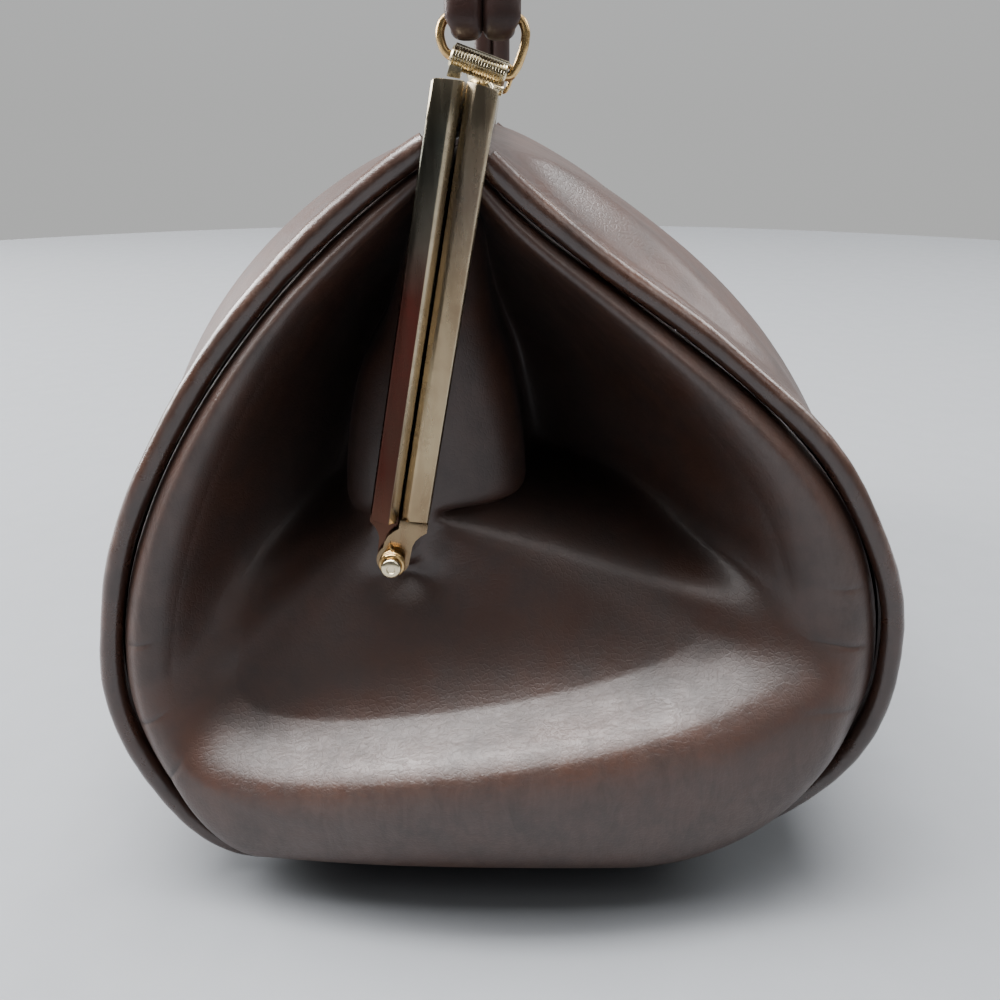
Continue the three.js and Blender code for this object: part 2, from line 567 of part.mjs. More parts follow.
// Strap handle: each end goes down outside its bail, round the bail's top bar and up inside as a tongue.
function addHandle(barY, barZ) {
  const ply = STRAP_PLY / 2;
  const r = STRAP_LOOP_R;
  const hook = [
    [-ply, TONGUE],
    [-ply, 15],
    [-r + 0.5, 5.5],
    ...[0, 45, 90, 135, 180].map((a) => {
      const turn = THREE.MathUtils.degToRad(180 + a);
      return [r * Math.cos(turn), r * Math.sin(turn)];
    }),
    [r - 0.5, 5.5],
    [ply, 15],
  ];
  const nearEnd = hook.map(([dx, dz]) => new THREE.Vector3(BARREL_X + dx, 0, dz));
  const archX = BARREL_X + ply;
  const arch = [];
  for (let a = 0; a <= 180; a += 12) {
    const turn = THREE.MathUtils.degToRad(a);
    arch.push(new THREE.Vector3(archX * Math.cos(turn), 0, ARCH_START + HANDLE_RISE * Math.sin(turn)));
  }
  const farEnd = nearEnd.map((p) => new THREE.Vector3(-p.x, 0, p.z)).reverse();
  const line = new THREE.CatmullRomCurve3([...nearEnd, ...arch, ...farEnd], false, "centripetal");
  const t = STRAP_T / 2;
  // Two rolls side by side on the outside, flat on the inside. Places across are shares of half the width.
  const section = [
    [-1, 0],
    [-0.8, t],
    [-0.35, t],
    [0, t * 0.45],
    [0.35, t],
    [0.8, t],
    [1, 0],
    [0.8, -t],
    [-0.8, -t],
  ];
  // One ring at each point of the line, and one more halfway between the points of the arch.
  const spans = line.points.length - 1;
  const archEnd = nearEnd.length + arch.length - 1;
  const stops = line.points.flatMap((_, i) => (i >= nearEnd.length && i < archEnd ? [i, i + 0.5] : [i]));
  const rings = stops.map((stop) => {
    const p = line.getPoint(stop / spans);
    const along = line.getTangent(stop / spans);
    const outward = new THREE.Vector3(along.z, 0, -along.x);
    const wide = THREE.MathUtils.smoothstep(p.z, LOOP_NARROW_Z, LOOP_WIDE_Z);
    const half = THREE.MathUtils.lerp(STRAP_LOOP_W, STRAP_W, wide) / 2;
    const across = new THREE.Vector3(0, half, 0);
    return section.map(([v, d]) => p.clone().addScaledVector(outward, d).addScaledVector(across, v));
  });
  const outline = section.map(([v, d]) => new THREE.Vector2(v, d));
  addMesh(part, "handle", loft(rings, outline), strap).position.set(0, barY, barZ);
}

// Ball knob of the kiss lock on a stalk that leans over the closing plane.
function addKnob(side, name) {
  const foot = new THREE.Vector3(side * KNOB_X, side * (HALF_GAP + CHANNEL_U) * 0.5, FRAME_H + FIT);
  const ball = new THREE.Vector3(side * KNOB_X, -side * KNOB_CROSS, FRAME_H + KNOB_H);
  const stalk = tube(new THREE.LineCurve3(foot, ball), STALK_R, 10, 2);
  const flange = new THREE.CylinderGeometry(FLANGE_R, FLANGE_R, FLANGE_T, 12).rotateX(Math.PI / 2);
  flange.translate(foot.x, foot.y, foot.z + FLANGE_T / 2);
  const head = new THREE.SphereGeometry(KNOB_R, 12, 8).translate(ball.x, ball.y, ball.z);
  let knob = asSolid(head).add(asSolid(stalk)).add(asSolid(flange));
  // The stalk's slanting end is trimmed level with the flange.
  const under = new THREE.BoxGeometry(12, 12, 4).translate(foot.x, foot.y, foot.z - 2);
  knob = knob.subtract(asSolid(under));
  addMesh(frame, "kiss_knob_" + name, asGeometry(knob), frameMetal);
}

// Leather wrap: front panel, floor and back panel in one piece
const wrapGrid = STATIONS.map((x) => wrapSection(x).map((p) => new THREE.Vector3(x, p.x, p.y)));
addMesh(part, "body_wrap", wall(wrapGrid, LEATHER), leather);

for (const [end, name] of [
  [1, "near"],
  [-1, "far"],
]) {
  const curve = pipingCurve(end);
  addPiping(end, name, curve);
  addGusset(end, "gusset_" + name, curve);
  addHinge(end, name);
  addBail(end, name);
}
addMesh(frame, "frame_back", frameHalf(-1, BACK_EAR_X), frameMetal);
addMesh(frame, "frame_front", frameHalf(1, FRONT_EAR_X), frameMetal);
addKnob(-1, "back");
addKnob(1, "front");
const bar = new THREE.Vector2(...BAIL_BEND[BAIL_BAR]).rotateAround(new THREE.Vector2(), -BARREL_TILT);
const barPlace = fromFrame(BARREL_U + bar.x, FRAME_H + BARREL_RISE + bar.y);
addHandle(barPlace.x, barPlace.y);

export default part;
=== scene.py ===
"""Kiss lock satchel: its looks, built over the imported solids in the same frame.

Shapes are worked out in millimetres and handed to Blender in metres. +X runs along the frame
towards the end that the camera sees, +Y towards the front panel, +Z up.
"""

import logging
import math
from collections import Counter
from dataclasses import dataclass, fields
from enum import Enum
from typing import Callable, Sequence

import bpy
import numpy as np
from mathutils import Matrix, Vector


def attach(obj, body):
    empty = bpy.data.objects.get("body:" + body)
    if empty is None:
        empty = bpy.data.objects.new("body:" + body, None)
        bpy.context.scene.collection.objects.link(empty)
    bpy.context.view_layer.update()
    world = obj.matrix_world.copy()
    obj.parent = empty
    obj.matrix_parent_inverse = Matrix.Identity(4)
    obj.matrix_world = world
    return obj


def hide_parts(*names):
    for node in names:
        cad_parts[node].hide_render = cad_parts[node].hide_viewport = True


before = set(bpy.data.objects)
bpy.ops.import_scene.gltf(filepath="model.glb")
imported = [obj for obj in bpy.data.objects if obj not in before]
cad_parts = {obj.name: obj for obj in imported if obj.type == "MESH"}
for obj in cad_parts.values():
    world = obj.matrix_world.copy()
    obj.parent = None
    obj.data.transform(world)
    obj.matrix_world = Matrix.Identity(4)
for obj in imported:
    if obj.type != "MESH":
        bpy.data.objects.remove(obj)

Number = np.ndarray | float
Span = tuple[float, float]
Triple = tuple[float, float, float]
Colour = tuple[float, float, float, float]
Piece = bpy.types.Object
Socket = bpy.types.NodeSocket
Feed = Socket | float | tuple[float, ...]

LOG = logging.getLogger("satchel")
MM = 0.001
BODY = "root"
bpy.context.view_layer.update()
WELD = 1e-6  # points nearer than this are one, in metres
WELD_MM = 1e-4  # the same for pieces that are still in millimetres
CLOSE = 0.01  # places nearer than this count as the same, in millimetres
FACING = 0.9  # a normal's share along an axis from which a face looks that way


class Labelled(Enum):
    """Options whose names are part of the names of pieces."""

    @property
    def label(self) -> str:
        """The name in small letters."""
        return self.name.lower()


class End(Labelled):
    """The two ends of the bag; the value is the sign of X."""

    NEAR = 1
    FAR = -1


class Side(Labelled):
    """The two long sides of the bag; the value is the sign of Y."""

    BACK = -1
    FRONT = 1


class Slot(str, Enum):
    """Material slots of the record."""

    LEATHER = "leather"
    PIPING = "piping"
    STRAP = "strap"
    FRAME = "frame_metal"
    WIRE = "wire_metal"


# Curves and tables


def smoothstep(value: Number, low: float, high: float) -> np.ndarray:
    """Ease from 0 at low to 1 at high."""
    t = np.clip((np.asarray(value, float) - low) / (high - low), 0, 1)
    return t * t * (3 - 2 * t)


def lerp(a: Number, b: Number, t: Number) -> np.ndarray:
    """Mix a, at share 0, with b, at share 1."""
    return a + (b - a) * t


def bump(value: np.ndarray, middle: Number, width: Number) -> np.ndarray:
    """Bell curve of height 1 about its middle, with this standard deviation."""
    return np.exp(-(((value - middle) / width) ** 2) / 2)


def bezier(a: np.ndarray, b: np.ndarray, c: np.ndarray, d: np.ndarray, count: int) -> np.ndarray:
    """Points of a cubic Bezier curve from a to d, with the handles b and c."""
    t = np.linspace(0, 1, count)[:, None]
    return a * (1 - t) ** 3 + b * 3 * t * (1 - t) ** 2 + c * 3 * t * t * (1 - t) + d * t**3


def catmull(points: np.ndarray, places: np.ndarray, least: float = 1e-4) -> np.ndarray:
    """Centripetal Catmull-Rom curves through rows of control points.

    Args:
        points: Control points, rows by controls by axes.
        places: Places along each curve in spans: 0 at its first control, 1 at its second.
        least: Smallest gap between two controls.

    Returns:
        Array, rows by places by axes.
    """
    first = 2 * points[:, :1] - points[:, 1:2]
    last = 2 * points[:, -1:] - points[:, -2:-1]
    full = np.concatenate([first, points, last], axis=1)
    span = np.minimum(places.astype(int), points.shape[1] - 2)
    t = (places - span)[None, :, None]
    p = [full[:, span + k] for k in range(4)]
    chords = [np.linalg.norm(p[k + 1] - p[k], axis=2, keepdims=True) for k in range(3)]
    gap = [np.maximum(chord**0.5, least) for chord in chords]
    slope_a = (p[1] - p[0]) / gap[0] - (p[2] - p[0]) / (gap[0] + gap[1]) + (p[2] - p[1]) / gap[1]
    slope_b = (p[2] - p[1]) / gap[1] - (p[3] - p[1]) / (gap[1] + gap[2]) + (p[3] - p[2]) / gap[2]
    return (
        p[1] * (2 * t**3 - 3 * t**2 + 1)
        + slope_a * gap[1] * (t**3 - 2 * t**2 + t)
        + p[2] * (3 * t**2 - 2 * t**3)
        + slope_b * gap[1] * (t**3 - t**2)
    )


def between(rows: Sequence, key: str, places: np.ndarray) -> dict[str, np.ndarray]:
    """Values of a table between its rows, on smooth curves that never overshoot a row.

    Args:
        rows: Rows of the table, one dataclass each.
        key: Column that the places are in.
        places: Places to read.

    Returns:
        One array for each column.
    """
    at = np.array([getattr(row, key) for row in rows], float)
    place = np.clip(np.atleast_1d(places), at[0], at[-1])
    i = np.clip(np.searchsorted(at, place, side="right") - 1, 0, len(at) - 2)
    width = np.diff(at)
    t = (place - at[i]) / width[i]
    made = {}
    for column in fields(rows[0]):
        value = np.array([getattr(row, column.name) for row in rows], float)
        slope = np.diff(value) / width
        tangent = np.zeros(len(at))
        same = slope[:-1] * slope[1:] > 0
        both = np.where(same, slope[:-1] + slope[1:], 1)
        tangent[1:-1] = np.where(same, 2 * slope[:-1] * slope[1:] / both, 0)
        made[column.name] = (
            value[i] * (1 + 2 * t) * (1 - t) ** 2
            + tangent[i] * width[i] * t * (1 - t) ** 2
            + value[i + 1] * t * t * (3 - 2 * t)
            - tangent[i + 1] * width[i] * t * t * (1 - t)
        )
    return made


@dataclass(frozen=True)
class Wave:
    """One of the waves that make up a ripple: its pace, its direction and how the seed shifts it."""

    pace: float
    x: float
    y: float
    shift: float


RIPPLE_WAVES = (
    Wave(1, 1, 0.35, 1),
    Wave(0.63, -0.4, 1, 1.7),
    Wave(1.37, 0.7, 0.8, 2.3),
    Wave(0.81, 1, -0.9, 0.6),
)


def ripple(x: np.ndarray, y: Number, length: float, seed: float) -> np.ndarray:
    """Soft uneven waves, about -1 to 1.

    Args:
        x: First coordinate.
        y: Second coordinate.
        length: Rough wave length.
        seed: Shifts the pattern.

    Returns:
        Heights.
    """
    k = 2 * math.pi / length
    waves = [np.sin(k * w.pace * (w.x * x + w.y * y) + w.shift * seed) for w in RIPPLE_WAVES]
    return sum(waves) / (len(waves) - 1)


@dataclass(frozen=True)
class Stretch:
    """A stretch that eases in from start to full, and out again from fade to stop."""

    start: float
    full: float
    fade: float
    stop: float

    def share(self, places: np.ndarray) -> np.ndarray:
        """How far each place lies in the stretch, from 0 to 1."""
        return smoothstep(places, self.start, self.full) * (1 - smoothstep(places, self.fade, self.stop))


def grid_normals(grid: np.ndarray) -> np.ndarray:
    """Unit normals of a grid of points, rows by columns by 3."""
    normal = np.cross(np.gradient(grid, axis=1), np.gradient(grid, axis=0))
    return normal / np.maximum(np.linalg.norm(normal, axis=2, keepdims=True), 1e-9)


def beside(line: np.ndarray) -> np.ndarray:
    """Unit normals of a flat line of points, to its left.

    Args:
        line: Points by 2.

    Returns:
        Array of the same shape.
    """
    along = np.gradient(line, axis=0)
    along /= np.linalg.norm(along, axis=1, keepdims=True)
    return np.stack([-along[:, 1], along[:, 0]], 1)


def distances(line: np.ndarray) -> np.ndarray:
    """Distance along a line of points from its start to each point."""
    return np.concatenate([[0], np.cumsum(np.linalg.norm(np.diff(line, axis=0), axis=1))])


def walk(line: np.ndarray, run: np.ndarray, at: np.ndarray) -> np.ndarray:
    """Places on a flat line of points, whose distances are in run, at other distances."""
    return np.stack([np.interp(at, run, line[:, k]) for k in range(2)], 1)


# Shape of the bag


@dataclass(frozen=True)
class Section:
    """One side's outline of the wrap at a station along the bag."""

    x: float
    slope: float
    reach: float
    belly_y: float
    belly_z: float
    rise: float
    foot_y: float
    lift: float


@dataclass(frozen=True)
class Fold:
    """One line of the gusset from the piping (0) to the frame (1), at a place along the piping."""

    along: float
    lip_at: float
    lip_out: float
    brow_at: float
    brow_out: float
    mid_at: float
    mid_out: float
    deep_at: float
    deep_out: float
    flap_at: float
    flap_out: float


BACK_SECTIONS = (
    Section(-132, 30, 34, 92.5, 55, 50, 60, 4.6),
    Section(-84, 17, 52, 95, 58, 52, 62, 0),
    Section(84, 17, 52, 95, 58, 52, 62, 0),
    Section(132, 27, 35, 92.5, 55, 50, 60, 4.6),
)
FRONT_SECTIONS = (
    Section(-132, 38, 34, 92.5, 55, 58, 52, 4.6),
    Section(-84, 17, 52, 95, 58, 52, 56, 0),
    Section(84, 17, 52, 95, 58, 52, 54, 0),
    Section(132, 50, 42, 92.5, 56, 68, 34, 4.6),
)
GUSSET_FOLDS = (
    Fold(0.0, 0.16, 1, 0.34, -3, 0.5, -8, 0.65, -14, 0.82, -10),
    Fold(0.09, 0.07, 3, 0.2, -2, 0.42, -24, 0.75, -45, 0.83, -16),
    Fold(0.135, 0.065, 3.5, 0.2, -1, 0.43, -26, 0.7, -49, 0.77, -17),
    Fold(0.2, 0.06, 4, 0.2, 0, 0.45, -25, 0.75, -44, 0.82, -15),
    Fold(0.25, 0.055, 4.3, 0.19, 1.5, 0.45, -19, 0.77, -28, 0.88, -16),
    Fold(0.285, 0.05, 4.6, 0.17, 3.5, 0.42, -11, 0.78, -14, 0.92, -11),
    Fold(0.33, 0.05, 5.5, 0.17, 6.5, 0.32, -3, 0.72, -10, 0.92, -9),
    Fold(0.38, 0.04, 8.5, 0.28, 13.5, 0.4, 4, 0.74, -6.5, 0.92, -8),
    Fold(0.46, 0.03, 11.5, 0.42, 20, 0.53, 8.5, 0.74, -5, 0.92, -8),
    Fold(0.54, 0.03, 12, 0.46, 21, 0.56, 8.5, 0.75, -5, 0.92, -8),
    Fold(0.61, 0.03, 10.5, 0.43, 19.5, 0.54, 8, 0.75, -5, 0.92, -8.5),
    Fold(0.665, 0.04, 7.5, 0.31, 13.5, 0.43, 3.5, 0.74, -6, 0.92, -9),
    Fold(0.7, 0.05, 5.5, 0.21, 6.5, 0.37, -4, 0.72, -9, 0.92, -10),
    Fold(0.725, 0.05, 4.4, 0.18, 1, 0.45, -10, 0.72, -10, 0.9, -11),
    Fold(0.75, 0.05, 4.2, 0.18, -1, 0.45, -28, 0.72, -17, 0.87, -21),
    Fold(0.785, 0.05, 4, 0.18, -2, 0.45, -37, 0.73, -57, 0.78, -19),
    Fold(0.86, 0.07, 3.5, 0.2, -3, 0.42, -35, 0.74, -60, 0.79, -18),
    Fold(0.93, 0.09, 2.5, 0.2, -4, 0.4, -23, 0.77, -44, 0.83, -15),
    Fold(1.0, 0.16, 1, 0.34, -3, 0.5, -8, 0.65, -14, 0.82, -10),
)


@dataclass(frozen=True)
class FrameSizes:
    """The leaning metal frame: u across its halves, h up from the hinge axis, in millimetres."""

    lean: float = math.radians(10)
    hinge_y: float = -23.5
    hinge_z: float = 88
    half: float = 140
    height: float = 98.7
    depth: float = 8
    foot: float = 8
    gap: float = 0.3
    width: float = 6.4
    slot_in: float = 2.0
    slot_out: float = 4.7

    def to_bag(self, u: Number, h: Number) -> np.ndarray:
        """Y and Z in the bag of a place u across the halves and h up from the hinge axis."""
        c, s = math.cos(self.lean), math.sin(self.lean)
        return np.stack(np.broadcast_arrays(self.hinge_y + u * c + h * s, self.hinge_z - u * s + h * c), -1)

    def across(self, points: np.ndarray) -> np.ndarray:
        """Signed distances of places of the bag, as Y and Z, from the frame's closing plane."""
        c, s = math.cos(self.lean), math.sin(self.lean)
        return (points[..., 0] - self.hinge_y) * c - (points[..., 1] - self.hinge_z) * s

    def matrix(self) -> Matrix:
        """Transform of frame coordinates in millimetres to the bag's in metres."""
        shift = Matrix.Translation((0, self.hinge_y * MM, self.hinge_z * MM))
        return shift @ Matrix.Rotation(-self.lean, 4, "X") @ Matrix.Scale(MM, 4)


@dataclass(frozen=True)
class BagShape:
    """Outlines, seams and folds of the leather, in millimetres; places along and across are shares."""

    metal: FrameSizes = FrameSizes()
    seam_x: float = 135
    wrap_end: float = 131.6
    seam_points: tuple[int, int, int] = (160, 60, 60)
    piping_r: float = 2.6
    piping_inset: float = 1.2
    fit: float = 0.35
    mouth_h: float = 88.6
    slot_top_h: float = 94
    rim_gap: float = 1.1
    rim_x: float = 132.6
    rim_u: float = 4.4
    rim_bare: float = 0.006
    swell: float = 1.2
    swell_share: float = 0.2
    gusset_side: float = 0.22
    gusset_top_h: float = 79
    gusset_foot_h: float = 9
    gusset_dip_h: float = -4
    free_from: float = 0.06
    free_to: float = 0.005
    free_x: float = 127
    mouth_x: float = 127.8
    mouth_free_at: float = 0.97
    mouth_free_in: float = 1
    clamp_x: float = 130.8
    clamp_free_at: float = 0.985
    clamp_free_in: float = 0.5
    slot_x: float = 135.3

    def half_outline(self, side: Side, x: float, falls: int, turns: int) -> np.ndarray:
        """One side of the wrap at a station, from the bar's slot to the foot.

        Args:
            side: Long side of the bag.
            x: Station.
            falls: Points down to the belly.
            turns: Points round to the foot.

        Returns:
            Y and Z of the points.
        """
        rows = BACK_SECTIONS if side is Side.BACK else FRONT_SECTIONS
        cut = {name: float(value[0]) for name, value in between(rows, "x", np.array([x])).items()}
        sign = side.value
        slope = math.radians(cut["slope"])
        u = sign * (self.metal.slot_out - self.fit)
        slot_top = self.metal.to_bag(u, self.slot_top_h)
        mouth = self.metal.to_bag(u, self.mouth_h)
        belly = np.array([sign * cut["belly_y"], cut["belly_z"]])
        foot = np.array([sign * cut["foot_y"], cut["lift"]])
        corner = np.array([belly[0], foot[1]])
        pull = mouth + cut["reach"] * np.array([sign * math.cos(slope), -math.sin(slope)])
        fall = bezier(mouth, pull, belly + [0, cut["rise"]], belly, falls)
        turn = bezier(belly, lerp(belly, corner, 0.5), lerp(foot, corner, 0.5), foot, turns)
        return np.concatenate([slot_top[None], fall, turn[1:]])

    def section(self, x: float, falls: int = 70, turns: int = 30, floor: int = 20) -> np.ndarray:
        """Outline of the wrap at a station, from the back slot round the floor to the front slot.

        Args:
            x: Station.
            falls: Points down each panel.
            turns: Points round each foot.
            floor: Points across the floor.

        Returns:
            Y and Z of the points.
        """
        back = self.half_outline(Side.BACK, x, falls, turns)
        front = self.half_outline(Side.FRONT, x, falls, turns)
        share = np.linspace(0, 1, floor + 2)[1:-1, None]
        return np.concatenate([back, lerp(back[-1], front[-1], share), front[::-1]])

    def seam_line(self, end: End, leg_u: float) -> np.ndarray:
        """Middle line of the piping, from beside the back leg round the floor to the front leg.

        Args:
            end: End of the bag.
            leg_u: How near to the closing plane the line starts and stops.

        Returns:
            Y and Z of the points.
        """
        outline = self.section(end.value * self.wrap_end, *self.seam_points)[1:-1]
        inset = outline + self.piping_inset * beside(outline)
        keep = (np.abs(self.metal.across(inset)) > leg_u) | (inset[:, 1] < self.metal.hinge_z)
        return inset[keep]

    def gusset(self, end: End, shares: np.ndarray, places: np.ndarray) -> np.ndarray:
        """Middle surface of an end gusset.

        Args:
            end: End of the bag.
            shares: Places along the piping, from the back leg (0) to the front leg (1).
            places: Places across, in spans between the fold's control points.

        Returns:
            Points, shares by places by 3.
        """
        line = self.seam_line(end, self.rim_u)
        run = distances(line)
        along = lerp(self.rim_bare, 1 - self.rim_bare, shares)
        seam = walk(line, run / run[-1], along)
        seam = seam + (self.piping_r + self.rim_gap) * beside(seam)
        inner = self.gusset_inner(along)
        fold = between(GUSSET_FOLDS, "along", along)
        from_leg = np.minimum(along, 1 - along)
        free = smoothstep(from_leg, self.gusset_side - self.free_from, self.gusset_side - self.free_to)
        swell = (fold["lip_out"] + fold["brow_out"]) / 2 + self.swell
        swell = swell + self.swell_share * np.maximum(fold["brow_out"], 0)
        controls = (
            (np.zeros_like(along), np.full_like(along, self.rim_x)),
            (fold["lip_at"], self.seam_x + fold["lip_out"]),
            ((fold["lip_at"] + fold["brow_at"]) / 2, self.seam_x + swell),
            (fold["brow_at"], self.seam_x + fold["brow_out"]),
            (fold["mid_at"], self.seam_x + fold["mid_out"]),
            (fold["deep_at"], self.seam_x + fold["deep_out"]),
            (fold["flap_at"], self.seam_x + fold["flap_out"]),
            (lerp(1, self.mouth_free_at, free), lerp(self.mouth_x, self.free_x - self.mouth_free_in, free)),
            (lerp(1, self.clamp_free_at, free), lerp(self.clamp_x, self.free_x - self.clamp_free_in, free)),
            (np.ones_like(along), lerp(self.slot_x, self.free_x, free)),
        )
        points = [
            np.column_stack([end.value * x, lerp(seam, inner, share[:, None])]) for share, x in controls
        ]
        return catmull(np.stack(points, 1), places)

    def gusset_inner(self, along: np.ndarray) -> np.ndarray:
        """Where the gusset meets the frame: down a leg's slot, under the hinge and up the other.

        Args:
            along: Places along the piping.

        Returns:
            Y and Z of the places on the frame.
        """
        u = (self.metal.slot_in + self.metal.slot_out) / 2
        side = self.gusset_side
        from_leg = np.minimum(along, 1 - along)
        down = lerp(self.gusset_top_h, self.gusset_foot_h, from_leg / side)
        turn = np.pi * np.clip((along - side) / (1 - 2 * side), 0, 1)
        dip = lerp(self.gusset_foot_h, self.gusset_dip_h, np.sin(turn))
        return self.metal.to_bag(-u * np.cos(turn), np.where(from_leg < side, down, dip))


SHAPE = BagShape()


# Blender helpers


def deselect() -> None:
    """Leave edit mode and deselect everything."""
    if bpy.context.object and bpy.context.object.mode != "OBJECT":
        bpy.ops.object.mode_set(mode="OBJECT")
    bpy.ops.object.select_all(action="DESELECT")


def only(piece: Piece) -> None:
    """Select one object and make it active.

    Args:
        piece: The object.
    """
    deselect()
    piece.select_set(True)
    bpy.context.view_layer.objects.active = piece


def fresh(name: str) -> Piece:
    """Name the object that was just made, and its data.

    Args:
        name: Name of the piece.

    Returns:
        The object.
    """
    piece = bpy.context.object
    piece.name = piece.data.name = name
    return piece


def apply_modifier(piece: Piece, kind: str, **settings: object) -> None:
    """Add a modifier with these settings and apply it.

    Args:
        piece: Object to change.
        kind: Modifier type.
        **settings: Its properties.
    """
    only(piece)
    modifier = piece.modifiers.new(kind.title(), kind)
    for name, value in settings.items():
        setattr(modifier, name, value)
    bpy.ops.object.modifier_apply(modifier=modifier.name)


def fuse(piece: Piece, extra: Piece) -> None:
    """Join a second solid to a piece."""
    apply_modifier(piece, "BOOLEAN", operation="UNION", solver="EXACT", object=extra)
    bpy.data.objects.remove(extra)


def grid_piece(name: str, points: np.ndarray) -> Piece:
    """Soft sheet or sleeve: a grid primitive whose points are moved into shape.

    Args:
        name: Name of the piece.
        points: Rows by columns by 3, in millimetres.

    Returns:
        The new object.
    """
    rows, columns = points.shape[:2]
    deselect()
    bpy.ops.mesh.primitive_grid_add(x_subdivisions=columns - 1, y_subdivisions=rows - 1, size=1)
    piece = fresh(name)
    piece.data.vertices.foreach_set("co", (points * MM).astype(np.float32).ravel())
    piece.data.update()
    return piece


def close_sleeve(piece: Piece) -> None:
    """Join a sleeve's last column to its first and cap its ends.

    Args:
        piece: Grid whose first and last columns lie on each other.
    """
    only(piece)
    bpy.ops.object.mode_set(mode="EDIT")
    bpy.ops.mesh.select_all(action="SELECT")
    bpy.ops.mesh.remove_doubles(threshold=WELD)
    bpy.ops.mesh.fill_holes(sides=0)
    bpy.ops.mesh.normals_make_consistent(inside=False)
    bpy.ops.object.mode_set(mode="OBJECT")


def pick(piece: Piece, kind: str, test: Callable[..., bool]) -> None:
    """Enter edit mode with some of a mesh's faces or edges selected.

    Args:
        piece: Mesh object.
        kind: FACE or EDGE.
        test: Test of one face or edge.
    """
    only(piece)
    bpy.ops.object.mode_set(mode="EDIT")
    bpy.ops.mesh.select_mode(type=kind)
    bpy.ops.mesh.select_all(action="DESELECT")
    bpy.ops.object.mode_set(mode="OBJECT")
    for part in piece.data.polygons if kind == "FACE" else piece.data.edges:
        part.select = test(part)
    bpy.ops.object.mode_set(mode="EDIT")


def pick_faces(piece: Piece, test: Callable[[Vector, Vector], bool]) -> None:
    """Enter edit mode with the faces selected whose middle and normal pass a test."""
    pick(piece, "FACE", lambda face: test(face.center, face.normal))


def pick_edges(piece: Piece, test: Callable[[Vector, Vector], bool]) -> None:
    """Enter edit mode with the edges selected whose two points pass a test."""
    pick(piece, "EDGE", lambda edge: test(*(piece.data.vertices[i].co for i in edge.vertices)))


def drop_fins(piece: Piece) -> None:
    """Delete faces that lie back to back on the same points, as a union can leave.

    Args:
        piece: Mesh object.
    """
    uses = Counter(frozenset(face.vertices) for face in piece.data.polygons)
    pick(piece, "FACE", lambda face: uses[frozenset(face.vertices)] > 1)
    bpy.ops.mesh.delete(type="FACE")
    deselect()


def extrude_faces(piece: Piece, test: Callable[[Vector, Vector], bool], move: Triple) -> None:
    """Extrude some faces straight.

    Args:
        piece: Mesh object.
        test: Test of a face's middle and normal.
        move: How far to move the new faces.
    """
    pick_faces(piece, test)
    bpy.ops.mesh.extrude_region_move(TRANSFORM_OT_translate={"value": move})
    deselect()


def block(size: Triple, middle: Triple) -> Piece:
    """Make a box.

    Args:
        size: Its sides.
        middle: Its middle.

    Returns:
        The new object.
    """
    deselect()
    bpy.ops.mesh.primitive_cube_add(size=1, location=middle, scale=size)
    bpy.ops.object.transform_apply(location=True, rotation=True, scale=True)
    return bpy.context.object


def turned(name: str, profile: Sequence[Span], sides: int, hollow: bool = False) -> Piece:
    """Turned piece about Z: a circle extruded and scaled from step to step.

    Args:
        name: Name of the piece.
        profile: Radius and height of each step, in millimetres.
        sides: Sides of the circle.
        hollow: Whether the last step meets the first, as in a sleeve.

    Returns:
        The new object, still in millimetres about its own axis.
    """
    deselect()
    radius, height = profile[0]
    fill = "NOTHING" if hollow else "NGON"
    bpy.ops.mesh.primitive_circle_add(vertices=sides, radius=radius, fill_type=fill, location=(0, 0, 0))
    piece = fresh(name)
    bpy.ops.object.mode_set(mode="EDIT")
    bpy.ops.mesh.select_mode(type="VERT")
    bpy.ops.mesh.select_all(action="SELECT")
    bpy.ops.transform.translate(value=(0, 0, height))
    for next_radius, next_height in profile[1:]:
        bpy.ops.mesh.extrude_region_move(TRANSFORM_OT_translate={"value": (0, 0, next_height - height)})
        share = next_radius / radius
        bpy.ops.transform.resize(value=(share, share, 1), center_override=(0, 0, next_height))
        radius, height = next_radius, next_height
    bpy.ops.mesh.select_all(action="SELECT")
    bpy.ops.mesh.remove_doubles(threshold=WELD_MM)
    bpy.ops.mesh.normals_make_consistent(inside=False)
    bpy.ops.object.mode_set(mode="OBJECT")
    return piece


def place(piece: Piece, transform: Matrix) -> None:
    """Move a piece's mesh into the bag and leave its object at the origin.

    Args:
        piece: The object.
        transform: From the piece's own coordinates to the bag's, in metres.
    """
    piece.data.transform(transform @ piece.matrix_basis)
    piece.matrix_basis = Matrix()
    if transform.determinant() < 0:
        piece.data.flip_normals()
    piece.data.update()


def paint(piece: Piece, name: str, values: np.ndarray) -> None:
    """Store one number for each point, in their order, for the material to read."""
    layer = piece.data.attributes.new(name, "FLOAT", "POINT")
    layer.data.foreach_set("value", values.astype(np.float32).ravel())


def dress(
    piece: Piece, material: bpy.types.Material, slot: Slot, *nodes: str, angle: float = 50
) -> None:
    """Give a finished piece its material and its body, and hide the solids that it stands for.

    Args:
        piece: The object.
        material: Its material.
        slot: Its material slot in the record; not used.
        *nodes: Solids that it replaces.
        angle: Edges sharper than this stay sharp, in degrees.
    """
    only(piece)
    bpy.ops.object.shade_smooth_by_angle(angle=math.radians(angle))
    piece.data.materials.clear()
    piece.data.materials.append(material)
    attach(piece, BODY)
    if nodes:
        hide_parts(*nodes)
    LOG.info("%s: %d faces", piece.name, len(piece.data.polygons))


# Finishes


